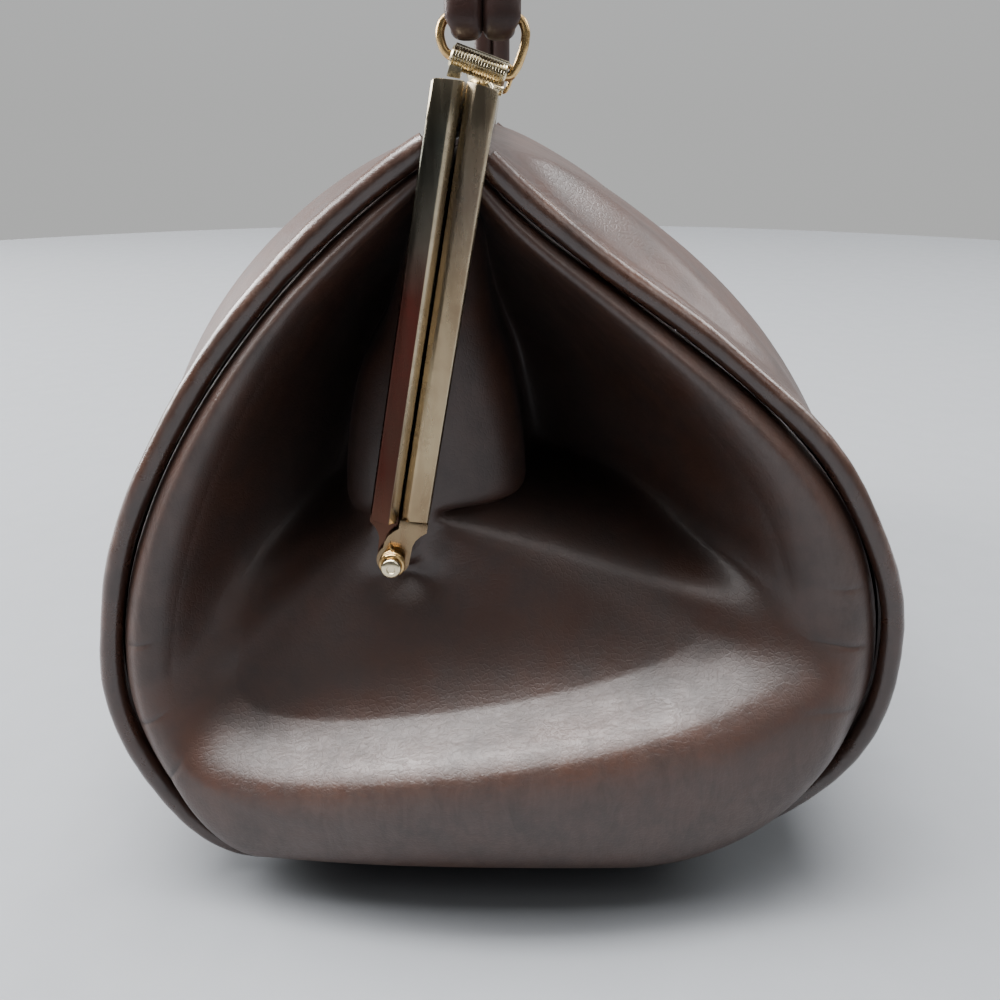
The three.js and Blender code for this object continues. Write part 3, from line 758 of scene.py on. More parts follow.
class Nodes:
    """Small helper that builds one material's node tree."""

    def __init__(self, name: str) -> None:
        """Start an empty material.

        Args:
            name: Name of the material.
        """
        self.material = bpy.data.materials.new(name)
        self.material.use_nodes = True
        self.tree = self.material.node_tree
        self.shader = self.tree.nodes["Principled BSDF"]
        self.coord = self.tree.nodes.new("ShaderNodeTexCoord").outputs["Object"]

    def add(self, kind: str, props: dict | None = None, **inputs: Feed) -> bpy.types.Node:
        """Add a node.

        Args:
            kind: Node type without its prefix.
            props: Properties to set.
            **inputs: Values or sockets for its inputs: by name with _ for spaces, or by number after _.

        Returns:
            The node.
        """
        node = self.tree.nodes.new("ShaderNode" + kind)
        for key, value in (props or {}).items():
            setattr(node, key, value)
        for key, value in inputs.items():
            socket = int(key[1:]) if key[1:].isdigit() else key.replace("_", " ")
            self.feed(node.inputs[socket], value)
        return node

    def feed(self, socket: Socket, value: Feed) -> None:
        """Link a socket to an input, or set the input's value.

        Args:
            socket: Input socket.
            value: Output socket or plain value.
        """
        if isinstance(value, Socket):
            self.tree.links.new(value, socket)
        else:
            socket.default_value = value

    def finished(self, **inputs: Feed) -> bpy.types.Material:
        """Feed the shader and hand the material over.

        Args:
            **inputs: Values or sockets for the shader's inputs, by name with _ for spaces.

        Returns:
            The material.
        """
        for key, value in inputs.items():
            self.feed(self.shader.inputs[key.replace("_", " ")], value)
        return self.material

    def noise(self, scale: float, detail: float = 4, rough: float = 0.55, **more: Feed) -> Socket:
        """Noise on the object's own coordinates, with this many features to the metre."""
        more = {"Vector": self.coord, "Detail": detail, "Roughness": rough, **more}
        return self.add("TexNoise", Scale=scale, **more).outputs["Fac"]

    def stretch(self, scale: Triple) -> Socket:
        """Object coordinates stretched along the axes."""
        return self.add("Mapping", Vector=self.coord, Scale=scale).outputs["Vector"]

    def cells(self, scale: float) -> Socket:
        """Distance to the edges of small cells, as in leather grain, with this many to the metre."""
        node = self.add("TexVoronoi", {"feature": "DISTANCE_TO_EDGE"}, Vector=self.coord, Scale=scale)
        return node.outputs["Distance"]

    def attribute(self, name: str) -> Socket:
        """A number painted on the piece's points."""
        return self.add("Attribute", {"attribute_name": name}).outputs["Fac"]

    def math(self, operation: str, a: Feed, b: Feed = 0.0) -> Socket:
        """Result of an operation on one or two values or sockets."""
        return self.add("Math", {"operation": operation}, _0=a, _1=b).outputs[0]

    def times(self, a: Feed, b: Feed) -> Socket:
        """Product of two values or sockets."""
        return self.math("MULTIPLY", a, b)

    def less(self, a: Feed, b: Feed) -> Socket:
        """Difference of two values or sockets."""
        return self.math("SUBTRACT", a, b)

    def span(self, value: Feed, low: float, high: float, to_low: float, to_high: float) -> Socket:
        """Map the range from low to high to another, held at its ends."""
        return self.add("MapRange", _0=value, _1=low, _2=high, _3=to_low, _4=to_high).outputs[0]

    def mix(self, share: Feed, a: Feed, b: Feed) -> Socket:
        """Mix two colours or sockets by the share of the second."""
        return self.add("Mix", {"data_type": "RGBA"}, _0=share, _6=a, _7=b).outputs[2]

    def ramp(self, value: Feed, stops: Sequence["Stop"]) -> Socket:
        """Colours that change with a value.

        Args:
            value: Socket to read.
            stops: Colours in rising order of their places.

        Returns:
            The colour.
        """
        colour = stops[0].colour
        for low, high in zip(stops, stops[1:]):
            colour = self.mix(self.span(value, low.at, high.at, 0, 1), colour, high.colour)
        return colour

    def relief(self, height: Feed, strength: float, distance: float, **under: Feed) -> Socket:
        """Normal of a bump whose height of 1 is a distance in metres, over the Normal under it."""
        node = self.add("Bump", Strength=strength, Distance=distance, Height=height, **under)
        return node.outputs["Normal"]


@dataclass(frozen=True)
class LeatherFinish:
    """Smooth dark brown leather with mottling, fine grain, creases and rubbed edges, and painted shade where
    the crease number is set.
    """

    name: str
    dark: Colour = (0.014, 0.0068, 0.005, 1)
    mid: Colour = (0.031, 0.0135, 0.0088, 1)
    red: Colour = (0.05, 0.018, 0.0095, 1)
    worn: Colour = (0.15, 0.1, 0.08, 1)
    gloss: float = 0.46
    grain: float = 0.35
    swell: float = 0.28
    scuff: float = 0.0
    shine: float = 0.7
    coat: float = 0.14
    coat_gloss: float = 0.27

    def material(self) -> bpy.types.Material:
        """Build the material.

        Returns:
            The material.
        """
        n = Nodes(self.name)
        crease, wear, strain = (n.attribute(name) for name in ("crease", "wear", "strain"))
        broad = n.noise(22, detail=5, rough=0.6, Distortion=0.4)
        blotch = n.noise(95, detail=6, rough=0.65)
        scratch = n.noise(260, detail=7, rough=0.75, Vector=n.stretch((1, 1, 0.35)), Distortion=1.2)
        lines = n.noise(420, rough=0.6, Vector=n.stretch((1.3, 0.45, 1.3)), Distortion=0.8)
        pits = n.span(n.cells(820), 0, 0.16, 0, 1)
        rub = n.times(wear, n.span(scratch, 0.4, 0.66, 0.12, 1))
        veins = n.math("ABSOLUTE", n.less(lines, 0.5))
        cracks = n.times(n.span(veins, 0, 0.03, 1, 0), n.span(strain, 0.05, 0.9, 0, 1))
        colour = n.mix(n.span(broad, 0.35, 0.68, 0, 1), self.mid, self.red)
        colour = n.mix(n.span(blotch, 0.42, 0.75, 0, 0.75), colour, self.dark)
        # Painted shade: darker where the crease number is set, in the gusset's creases and recesses and in
        # the strap's slit.
        colour = n.mix(n.times(crease, 0.8), colour, self.dark)
        colour = n.mix(n.times(rub, 0.34 + self.scuff), colour, self.worn)
        colour = n.mix(n.times(cracks, 0.2), colour, self.dark)
        rough = n.span(blotch, 0.3, 0.7, self.gloss - 0.05, self.gloss + 0.09)
        rough = n.math("ADD", rough, n.times(crease, 0.2))
        rough = n.less(rough, n.times(rub, 0.07))
        normal = n.relief(n.noise(140, rough=0.5), strength=self.swell, distance=0.0006)
        normal = n.relief(pits, strength=self.grain, distance=0.00007, Normal=normal)
        normal = n.relief(n.less(1.0, cracks), strength=0.3, distance=0.0001, Normal=normal)
        normal = n.relief(n.less(1.0, crease), strength=0.5, distance=0.0005, Normal=normal)
        return n.finished(
            Base_Color=colour,
            Roughness=rough,
            Normal=normal,
            Specular_IOR_Level=self.shine,
            Coat_Weight=self.coat,
            Coat_Roughness=self.coat_gloss,
        )


@dataclass(frozen=True)
class Stop:
    """Colour at a height, in metres."""

    at: float
    colour: Colour


FRESH_PLATE = (0.5, 0.42, 0.29, 1)
# Painted reflection on the legs: colours by height, in metres, that stand in for the surroundings mirrored
# in the metal.
BACK_LEG_REFLECTION = (
    Stop(0.088, (0.12, 0.06, 0.04, 1)),
    Stop(0.108, (0.06, 0.017, 0.0125, 1)),
    Stop(0.145, (0.075, 0.02, 0.015, 1)),
    Stop(0.158, (0.1, 0.095, 0.075, 1)),
    Stop(0.175, (0.15, 0.16, 0.13, 1)),
    Stop(0.188, FRESH_PLATE),
)
FRONT_LEG_REFLECTION = (
    Stop(0.086, (0.2, 0.145, 0.085, 1)),
    Stop(0.098, (0.34, 0.26, 0.155, 1)),
    Stop(0.118, (0.44, 0.35, 0.22, 1)),
    Stop(0.146, (0.4, 0.315, 0.2, 1)),
    Stop(0.164, (0.28, 0.24, 0.185, 1)),
    Stop(0.188, FRESH_PLATE),
)


@dataclass(frozen=True)
class MetalFinish:
    """Plated metal with a brushed sheen, fine scratches and tarnish, and painted reflection on a frame's
    legs.
    """

    name: str
    bright: Colour
    dull: Colour
    gloss: float = 0.2
    tarnish: float = 0.5
    # Painted reflection by height on the legs, found by X within leg_x; faces whose normal looks towards +Y
    # more than lip keep the plain colour, as a painted highlight.
    leg_reflection: tuple[Stop, ...] = ()
    leg_x: Span = (0.1305, 0.1325)
    lip: Span = (0.35, 0.6)

    def material(self) -> bpy.types.Material:
        """Build the material.

        Returns:
            The material.
        """
        n = Nodes(self.name)
        stain = n.noise(120, detail=6, rough=0.65, Distortion=0.6)
        specks = n.noise(900, detail=3, rough=0.7)
        at = n.add("SeparateXYZ", Vector=n.coord).outputs
        leg = n.span(n.math("ABSOLUTE", at["X"]), *self.leg_x, 0, 1)
        upright = n.noise(420, detail=3, rough=0.6, Vector=n.stretch((1, 1, 0.04)))
        level = n.noise(420, detail=3, rough=0.6, Vector=n.stretch((0.04, 1, 1)))
        brush = n.math("ADD", n.times(leg, upright), n.times(n.less(1.0, leg), level))
        share = n.times(n.span(stain, 0.42, 0.78, 0, 1), self.tarnish)
        colour = self.bright
        # On the legs: painted reflection, a colour ramp by height streaked with the dull colour; faces that
        # look towards +Y keep the plain colour as a painted highlight.
        if self.leg_reflection:
            facing = n.add("SeparateXYZ", Vector=n.add("NewGeometry").outputs["Normal"]).outputs["Y"]
            streak = n.noise(160, detail=3, rough=0.6, Vector=n.stretch((1, 1, 0.06)))
            worn = n.mix(n.span(streak, 0.35, 0.7, 0, 0.55), n.ramp(at["Z"], self.leg_reflection), self.dull)
            colour = n.mix(n.times(leg, n.span(facing, *self.lip, 1, 0)), self.bright, worn)
        colour = n.mix(share, colour, self.dull)
        colour = n.mix(n.span(specks, 0.66, 0.8, 0, 0.5 * self.tarnish), colour, self.dull)
        rough = n.span(brush, 0.3, 0.7, self.gloss - 0.05, self.gloss + 0.1)
        rough = n.math("ADD", rough, n.times(share, 0.22))
        normal = n.relief(stain, strength=0.06, distance=0.0001)
        normal = n.relief(brush, strength=0.1, distance=0.00003, Normal=normal)
        return n.finished(Base_Color=colour, Roughness=rough, Normal=normal, Metallic=1)


@dataclass(frozen=True)
class FloorFinish:
    """Plain pale matt floor."""

    colour: Colour = (0.18, 0.187, 0.198, 1)
    gloss: Span = (0.75, 0.9)

    def material(self) -> bpy.types.Material:
        """Build the material."""
        n = Nodes("floor")
        return n.finished(Base_Color=self.colour, Roughness=n.span(n.noise(60), 0.3, 0.7, *self.gloss))


@dataclass
class Finishes:
    """All the materials, made once."""

    leather: bpy.types.Material
    piping: bpy.types.Material
    strap: bpy.types.Material
    plate: bpy.types.Material
    rosy: bpy.types.Material
    bright: bpy.types.Material
    wire: bpy.types.Material

    @classmethod
    def make(cls) -> "Finishes":
        """Build them.

        Returns:
            The set of materials.
        """
        strap = LeatherFinish(
            "strap_leather",
            dark=(0.014, 0.0065, 0.005, 1),
            mid=(0.028, 0.012, 0.009, 1),
            red=(0.034, 0.012, 0.0085, 1),
            gloss=0.45,
            grain=0.12,
            swell=0.08,
            shine=0.4,
            coat=0.04,
        )
        # A lighter copy of the plate for rivets, barrels and knobs: painted brightness that stands in for
        # reflected light.
        bright = MetalFinish(
            "plate_painted_bright", (0.82, 0.72, 0.5, 1), (0.34, 0.22, 0.11, 1), gloss=0.16, tarnish=0.4
        )
        wire = MetalFinish(
            "gold_wire", (0.72, 0.49, 0.22, 1), (0.26, 0.14, 0.06, 1), gloss=0.22, tarnish=0.7
        )
        return cls(
            leather=LeatherFinish("satchel_leather").material(),
            piping=LeatherFinish("piping_leather", gloss=0.28, grain=0.2, scuff=0.4).material(),
            strap=strap.material(),
            # Both frame plates carry painted reflection on their legs.
            plate=MetalFinish("frame_plate", FRESH_PLATE, (0.17, 0.1, 0.06, 1), leg_reflection=FRONT_LEG_REFLECTION).material(),
            rosy=MetalFinish("back_plate_painted_reflection", FRESH_PLATE, (0.05, 0.03, 0.022, 1), leg_reflection=BACK_LEG_REFLECTION).material(),
            bright=bright.material(),
            wire=wire.material(),
        )


# Pieces


@dataclass(frozen=True)
class RidgePoint:
    """One place of a ridge on the front panel: how far down from the bar and behind the seam."""

    fall: float
    behind: float


@dataclass(frozen=True)
class Ridge:
    """Soft ridge down the front panel, narrow by the bar and wide below."""

    course: tuple[RidgePoint, ...]
    rise: float
    narrow: float
    wide: float
    widening: Span = (10, 60)

    def behind(self, fall: np.ndarray) -> np.ndarray:
        """How far behind the seam the ridge lies at each place down the panel."""
        return between(self.course, "fall", fall.ravel())["behind"].reshape(fall.shape)

    def height(self, fall: np.ndarray, behind: np.ndarray) -> np.ndarray:
        """How far the ridge lifts each place down the panel and behind the seam."""
        width = lerp(self.narrow, self.wide, smoothstep(fall, *self.widening))
        return self.rise * bump(behind, self.behind(fall), width)


OUTER_COURSE = (
    RidgePoint(5, 32),
    RidgePoint(20, 37),
    RidgePoint(48, 32),
    RidgePoint(80, 24),
    RidgePoint(130, 20),
)
SEAM_COURSE = (
    RidgePoint(5, 17),
    RidgePoint(16, 22),
    RidgePoint(28, 14),
    RidgePoint(42, 6),
    RidgePoint(64, 9),
    RidgePoint(110, 15),
)


@dataclass
class Wrap:
    """Front panel, floor and back panel in one leather wall; falls are down from the bar."""

    finishes: Finishes
    stations: int = 190
    crowding: float = 0.28
    thickness: float = 2.0
    front_y: Span = (0, 12)
    free_fall: Span = (6, 22)
    free_z: Span = (3, 22)
    gather: float = 0.55
    gather_least: float = 0.1
    gather_x: Span = (70, 125)
    gather_fall: Span = (5.5, 10)
    gather_fade: float = 16
    wave: float = 0.7
    wave_length: float = 95
    wave_seed: float = 0.7
    ridge_x: Span = (40, 90)
    ridge_fall: Stretch = Stretch(5, 14, 90, 150)
    outer: Ridge = Ridge(OUTER_COURSE, rise=2.3, narrow=2.6, wide=5)
    seam: Ridge = Ridge(SEAM_COURSE, rise=2.0, narrow=1.8, wide=3.2)
    valley: float = 1.8
    valley_width: float = 6
    back_rise: float = 0.9
    back_behind: Span = (4, 9)
    back_fall: Span = (6, 45)
    back_width: float = 2.4
    tuck: float = 1.0
    tuck_width: float = 2.4
    floor_least: float = 0.6

    def build(self) -> None:
        """Shape, thicken and dress the wrap."""
        spread = np.linspace(-1, 1, self.stations)
        x = SHAPE.wrap_end * ((1 - self.crowding) * spread + self.crowding * spread**3)
        outlines = np.stack([SHAPE.section(station) for station in x])
        along = np.broadcast_to(x[:, None, None], (*outlines.shape[:2], 1))
        grid = self.folded(np.concatenate([along, outlines], axis=2))
        piece = grid_piece("body_wrap_leather", grid)
        reach = np.abs(grid[..., 0])
        paint(piece, "crease", np.zeros(grid.shape[:2]))
        paint(piece, "wear", 0.15 * smoothstep(reach, 118, 131) + 0.25 * bump(grid[..., 2], 8, 8))
        paint(piece, "strain", 0.35 * smoothstep(reach, 95, 130))
        apply_modifier(piece, "SOLIDIFY", thickness=self.thickness * MM, offset=-1)
        dress(piece, self.finishes.leather, Slot.LEATHER, "body_wrap", angle=80)

    def folded(self, grid: np.ndarray) -> np.ndarray:
        """Add the gathers by the frame, the ridges by the near end and soft waves.

        Args:
            grid: Points of the outer face.

        Returns:
            Moved points.
        """
        x, y, z = np.moveaxis(grid, 2, 0)
        down = np.cumsum(np.linalg.norm(np.diff(grid, axis=1, prepend=grid[:, :1]), axis=2), axis=1)
        fall = np.minimum(down, down[:, -1:] - down)
        behind = SHAPE.seam_x - x
        front = smoothstep(y, *self.front_y)
        free = smoothstep(fall, *self.free_fall) * smoothstep(z, *self.free_z)
        height = self.gathers(x, fall) + self.wave * free * ripple(x, fall, self.wave_length, self.wave_seed)
        near = self.ridge_fall.share(fall) * smoothstep(x, *self.ridge_x)
        middle = (self.outer.behind(fall) + self.seam.behind(fall)) / 2
        ridges = self.outer.height(fall, behind) + self.seam.height(fall, behind)
        height = height + front * near * (ridges - self.valley * bump(behind, middle, self.valley_width))
        middle = lerp(*self.back_behind, smoothstep(fall, *self.back_fall))
        height = height + (1 - front) * near * self.back_rise * bump(behind, middle, self.back_width)
        height = height - self.tuck * smoothstep(np.abs(x), SHAPE.wrap_end - self.tuck_width, SHAPE.wrap_end)
        moved = grid + grid_normals(grid) * height[..., None]
        moved[..., 2] = np.maximum(moved[..., 2], np.minimum(z, self.floor_least))
        return moved

    def gathers(self, x: np.ndarray, fall: np.ndarray) -> np.ndarray:
        """Heights of the gathers below the bar, which are strongest by the ends.

        Args:
            x: Places along the bag.
            fall: Places down from the bar.

        Returns:
            Heights.
        """
        wave = np.sin(x * 0.62 + 1.3 * np.sin(x * 0.11))
        wave = wave * np.exp(-fall / self.gather_fade) * smoothstep(fall, *self.gather_fall)
        return self.gather * wave * (self.gather_least + smoothstep(np.abs(x), *self.gather_x))


@dataclass(frozen=True)
class Crease:
    """Short fine crease on the gusset, from the piping inwards; its stretch is in the fold's spans."""

    along: float
    start: float
    stop: float
    bend: float
    depth: float


NEAR_CREASES = (
    Crease(0.25, 0.4, 2.6, 0.004, 0.45),
    Crease(0.292, 0.4, 2.9, 0.002, 0.55),
    Crease(0.325, 0.4, 3.0, -0.008, 0.55),
    Crease(0.7, 0.4, 2.6, -0.008, 0.45),
    Crease(0.732, 0.4, 3.0, -0.006, 0.55),
    Crease(0.762, 0.4, 2.4, -0.004, 0.3),
)


@dataclass
class Gusset:
    """Folded leather end of the bag.

    Places along are shares of the piping and places across are in the fold's spans. A line across
    is given by its middle and width.
    """

    finishes: Finishes
    end: End
    rows: int = 360
    steps: tuple[int, ...] = (9, 12, 14, 24, 20, 16, 12, 4, 3)
    thickness: float = 2.0
    pace: float = 0.8
    rounds: int = 60
    slope_rounds: int = 300
    comb_rounds: int = 400
    comb_across: Span = (1.2, 2.2)
    crest_along: Stretch = Stretch(0.3, 0.38, 0.64, 0.72)
    plump: float = 2.3
    plump_across: Stretch = Stretch(0.4, 1.2, 2.9, 3.7)
    slack_along: Stretch = Stretch(0.22, 0.3, 0.71, 0.75)
    slack_across: Stretch = Stretch(1, 1.8, 6.2, 6.9)
    slack_least: float = 0.12
    slack_deep: float = 0.3
    deep_across: Span = (4.4, 5.2)
    roll_slack: float = 0.7
    roll_across: Stretch = Stretch(0.3, 0.9, 2.6, 3.4)
    crest_hold: float = 0.85
    crest_line: Span = (3, 0.6)
    slope_along: Stretch = Stretch(0.22, 0.32, 0.72, 0.79)
    slope_across: Stretch = Stretch(3.6, 4.4, 5.8, 6.6)
    pinch: float = 4.2
    pinch_y: Span = (1, 5)
    pinch_z: Span = (-10.5, 3.4)
    wave: float = 0.2
    wave_length: float = 80
    wave_seed: float = 1.9
    dent_across: Stretch = Stretch(0.6, 1.6, 6.2, 7)
    crease_sink: float = 0.6
    crease_width: float = 0.0011
    lip_line: Span = (1.2, 0.5)
    brow_line: Span = (2.8, 0.8)
    brow_along: Stretch = Stretch(0.36, 0.42, 0.62, 0.69)
    floor_along: Stretch = Stretch(0.2, 0.28, 0.72, 0.78)
    # Where the painted shade of the deep recesses lies across the gusset.
    recess_shade_across: Stretch = Stretch(3.4, 4.6, 5.5, 6.1)
    strain_line: Span = (3.1, 0.7)
    strain_along: Stretch = Stretch(0.3, 0.36, 0.66, 0.73)

    def build(self) -> None:
        """Shape, crease, thicken and dress the gusset."""
        shares = self.spread()
        spans = [i + np.arange(count) / count for i, count in enumerate(self.steps)]
        places = np.concatenate([*spans, [len(self.steps)]])
        along, across = np.meshgrid(shares, places, indexing="ij")
        crease = self.creases(along, across)
        grid = SHAPE.gusset(self.end, shares, places)
        self.settle(grid, along, across)
        self.dent(grid, across, crease)
        if self.end is End.FAR:
            grid, crease, along, across = (values[::-1] for values in (grid, crease, along, across))
        piece = grid_piece(f"gusset_{self.end.label}_leather", grid)
        lip = bump(across, *self.lip_line)
        brow = bump(across, *self.brow_line) * self.brow_along.share(along)
        # Painted shade: the deep recesses on both sides of the frame, and the creases, are painted dark
        # through the crease number.
        recess_shade = (1 - self.floor_along.share(along)) * self.recess_shade_across.share(across)
        strain = bump(across, *self.strain_line) * self.strain_along.share(along)
        paint(piece, "crease", np.maximum(crease, 0.85 * recess_shade))
        paint(piece, "wear", 0.5 * lip + 0.55 * brow)
        paint(piece, "strain", np.maximum(strain, 0.35 * lip))
        apply_modifier(piece, "SOLIDIFY", thickness=self.thickness * MM, offset=0)
        dress(piece, self.finishes.leather, Slot.LEATHER, f"gusset_{self.end.label}", angle=80)

    def settle(self, grid: np.ndarray, along: np.ndarray, across: np.ndarray) -> None:
        """Comb and plump the crest, then let the leather settle between the folds that hold it.

        Args:
            grid: Points of the gusset, which are moved.
            along: Places along the piping.
            across: Places across.
        """
        crest = self.crest_along.share(along)
        self.comb(grid, crest * smoothstep(across, *self.comb_across))
        out = self.end.value * grid[..., 0] + self.plump * crest * self.plump_across.share(across)
        deep = self.slack_least + self.slack_deep * smoothstep(across, *self.deep_across)
        slack = np.maximum(self.slack_along.share(along), deep) * self.slack_across.share(across)
        slack = np.maximum(slack, self.roll_slack * self.roll_across.share(across))
        slack = slack * (1 - self.crest_hold * crest * bump(across, *self.crest_line))
        out = self.relaxed(out, slack, self.rounds)
        slope = self.slope_along.share(along) * self.slope_across.share(across)
        grid[..., 0] = self.end.value * self.relaxed(out, slope, self.slope_rounds)

    def dent(self, grid: np.ndarray, across: np.ndarray, crease: np.ndarray) -> None:
        """Sink the pinch under the hinge, soft waves and the creases into the leather.

        Args:
            grid: Points of the gusset, which are moved.
            across: Places across.
            crease: How deep each point lies in a crease.
        """
        y, z = grid[..., 1], grid[..., 2]
        pinch = bump(y - SHAPE.metal.hinge_y, *self.pinch_y) * bump(z - SHAPE.metal.hinge_z, *self.pinch_z)
        sunk = self.pinch * pinch - self.wave * ripple(y, z, self.wave_length, self.wave_seed)
        sunk = sunk * self.dent_across.share(across) + self.crease_sink * crease
        grid[..., 0] -= self.end.value * sunk

    def comb(self, grid: np.ndarray, slack: np.ndarray) -> None:
        """Even out the folds lengthwise, so that the crest runs without waves.

        Args:
            grid: Points of the gusset, which are moved.
            slack: How freely each point moves, from 0 to 1.
        """
        for _ in range(self.comb_rounds):
            step = (grid[:-2] + grid[2:]) / 2 - grid[1:-1]
            grid[1:-1] += self.pace * slack[1:-1, :, None] * step

    def relaxed(self, out: np.ndarray, slack: np.ndarray, rounds: int) -> np.ndarray:
        """Let the leather settle: each point moves towards the middle of its neighbours.

        Args:
            out: How far each point stands out along the bag.
            slack: How freely each point moves, from 0 to 1.
            rounds: How often they move.

        Returns:
            Settled places.
        """
        for _ in range(rounds):
            wide = np.pad(out, 1, mode="edge")
            middle = (wide[:-2, 1:-1] + wide[2:, 1:-1] + wide[1:-1, :-2] + wide[1:-1, 2:]) / 4
            out = out + self.pace * slack * (middle - out)
        return out

    def spread(self) -> np.ndarray:
        """Places along the piping, closer together by the creases.

        Returns:
            Shares from 0 to 1.
        """
        fine = np.linspace(0, 1, 4000)
        weight = 1 + sum(2.5 * bump(fine, crease.along, 0.012) for crease in NEAR_CREASES)
        run = np.concatenate([[0], np.cumsum((weight[1:] + weight[:-1]) / 2)])
        return np.interp(np.linspace(0, run[-1], self.rows), run, fine)

    def creases(self, along: np.ndarray, across: np.ndarray) -> np.ndarray:
        """How deep each point lies in a sharp crease.

        Args:
            along: Places along the piping.
            across: Places across.

        Returns:
            Depths from 0 to 1.
        """
        depth = np.zeros_like(along)
        if self.end is End.FAR:
            return depth
        taper = Stretch(0, 0.3, 0.4, 1)
        for crease in NEAR_CREASES:
            share = np.clip((across - crease.start) / (crease.stop - crease.start), 0, 1)
            middle = crease.along + crease.bend * share**1.5
            line = bump(along, middle, self.crease_width)
            depth = np.maximum(depth, crease.depth * taper.share(share) * line)
        return depth


@dataclass
class Piping:
    """Leather covered cord round an end seam; its uneven waves have a height, a length and a seed."""

    finishes: Finishes
    end: End
    sides: int = 20
    rings: int = 420
    leg_u: float = 5.6
    lumps: tuple[Triple, ...] = ((0.035, 23, 0.4), (0.02, 7, 1.1))
    wander: Triple = (0.35, 41, 2.2)
    wander_out: float = 0.15
    proud_turn: float = 0.6
    proud_power: float = 1.5
    worn_z: Span = (60, 110)
    patch_length: float = 37
    patch_seed: float = 0.9
    rubbed: tuple[Span, ...] = ((0.075, 0.018), (0.925, 0.02), (0.975, 0.008))

    def build(self) -> None:
        """Shape and dress the cord."""
        line = SHAPE.seam_line(self.end, self.leg_u)
        run = distances(line)
        at = np.linspace(0, run[-1], self.rings)
        middle = walk(line, run, at)
        outward = -beside(middle)
        turn = np.linspace(0, 2 * math.pi, self.sides + 1)
        lumps = sum(height * ripple(at, 0, length, seed) for height, length, seed in self.lumps)
        radius = SHAPE.piping_r * (1 + lumps)[:, None]
        height, length, seed = self.wander
        wander = height * ripple(at, 0, length, seed)[:, None]
        x = self.end.value * (SHAPE.seam_x + self.wander_out * wander + np.sin(turn) * radius)
        flat = (middle + outward * wander)[:, None] + outward[:, None] * (np.cos(turn) * radius)[..., None]
        grid = np.concatenate([x[..., None], flat], axis=2)
        wear = self.worn(at, turn, flat[..., 1])
        if self.end is End.FAR:
            grid, wear = grid[::-1], wear[::-1]
        piece = grid_piece(f"piping_{self.end.label}_cord", grid)
        paint(piece, "wear", wear)
        paint(piece, "strain", 0.4 * wear)
        paint(piece, "crease", np.zeros_like(wear))
        close_sleeve(piece)
        dress(piece, self.finishes.piping, Slot.PIPING, f"piping_{self.end.label}", angle=80)

    def worn(self, at: np.ndarray, turn: np.ndarray, z: np.ndarray) -> np.ndarray:
        """How rubbed the cord is: in patches where it stands proud, most in the upper half.

        Args:
            at: Distances along the cord.
            turn: Angles round it.
            z: Height of each point.

        Returns:
            Shares from 0 to 1.
        """
        proud = np.clip(np.cos(turn - self.proud_turn), 0, 1) ** self.proud_power
        high = smoothstep(z, *self.worn_z)
        patches = smoothstep(ripple(at, 0, self.patch_length, self.patch_seed), -0.1, 0.5)[:, None]
        rubbed = sum(bump(at[:, None] / at[-1], *spot) for spot in self.rubbed)
        return proud * np.clip((0.45 + 0.55 * patches) * (0.3 + 0.4 * high) + 0.6 * rubbed, 0, 1)


@dataclass(frozen=True)
class HingeSizes:
    """Ears, rivet and spring of a hinge, in millimetres."""

    ear_r: float = 3.6
    ear_t: float = 1.3
    back_ear_x: float = 137
    front_ear_x: float = 138.65
    fit: float = 0.35
    rivet_r: float = 1.4
    head_r: float = 2.2
    tail_r: float = 2.6
    tail_t: float = 1.6
    spring_x: float = 140.3
    spring_r: float = 2.9
    wire: float = 1.05
    turns: int = 3


HINGE = HingeSizes()


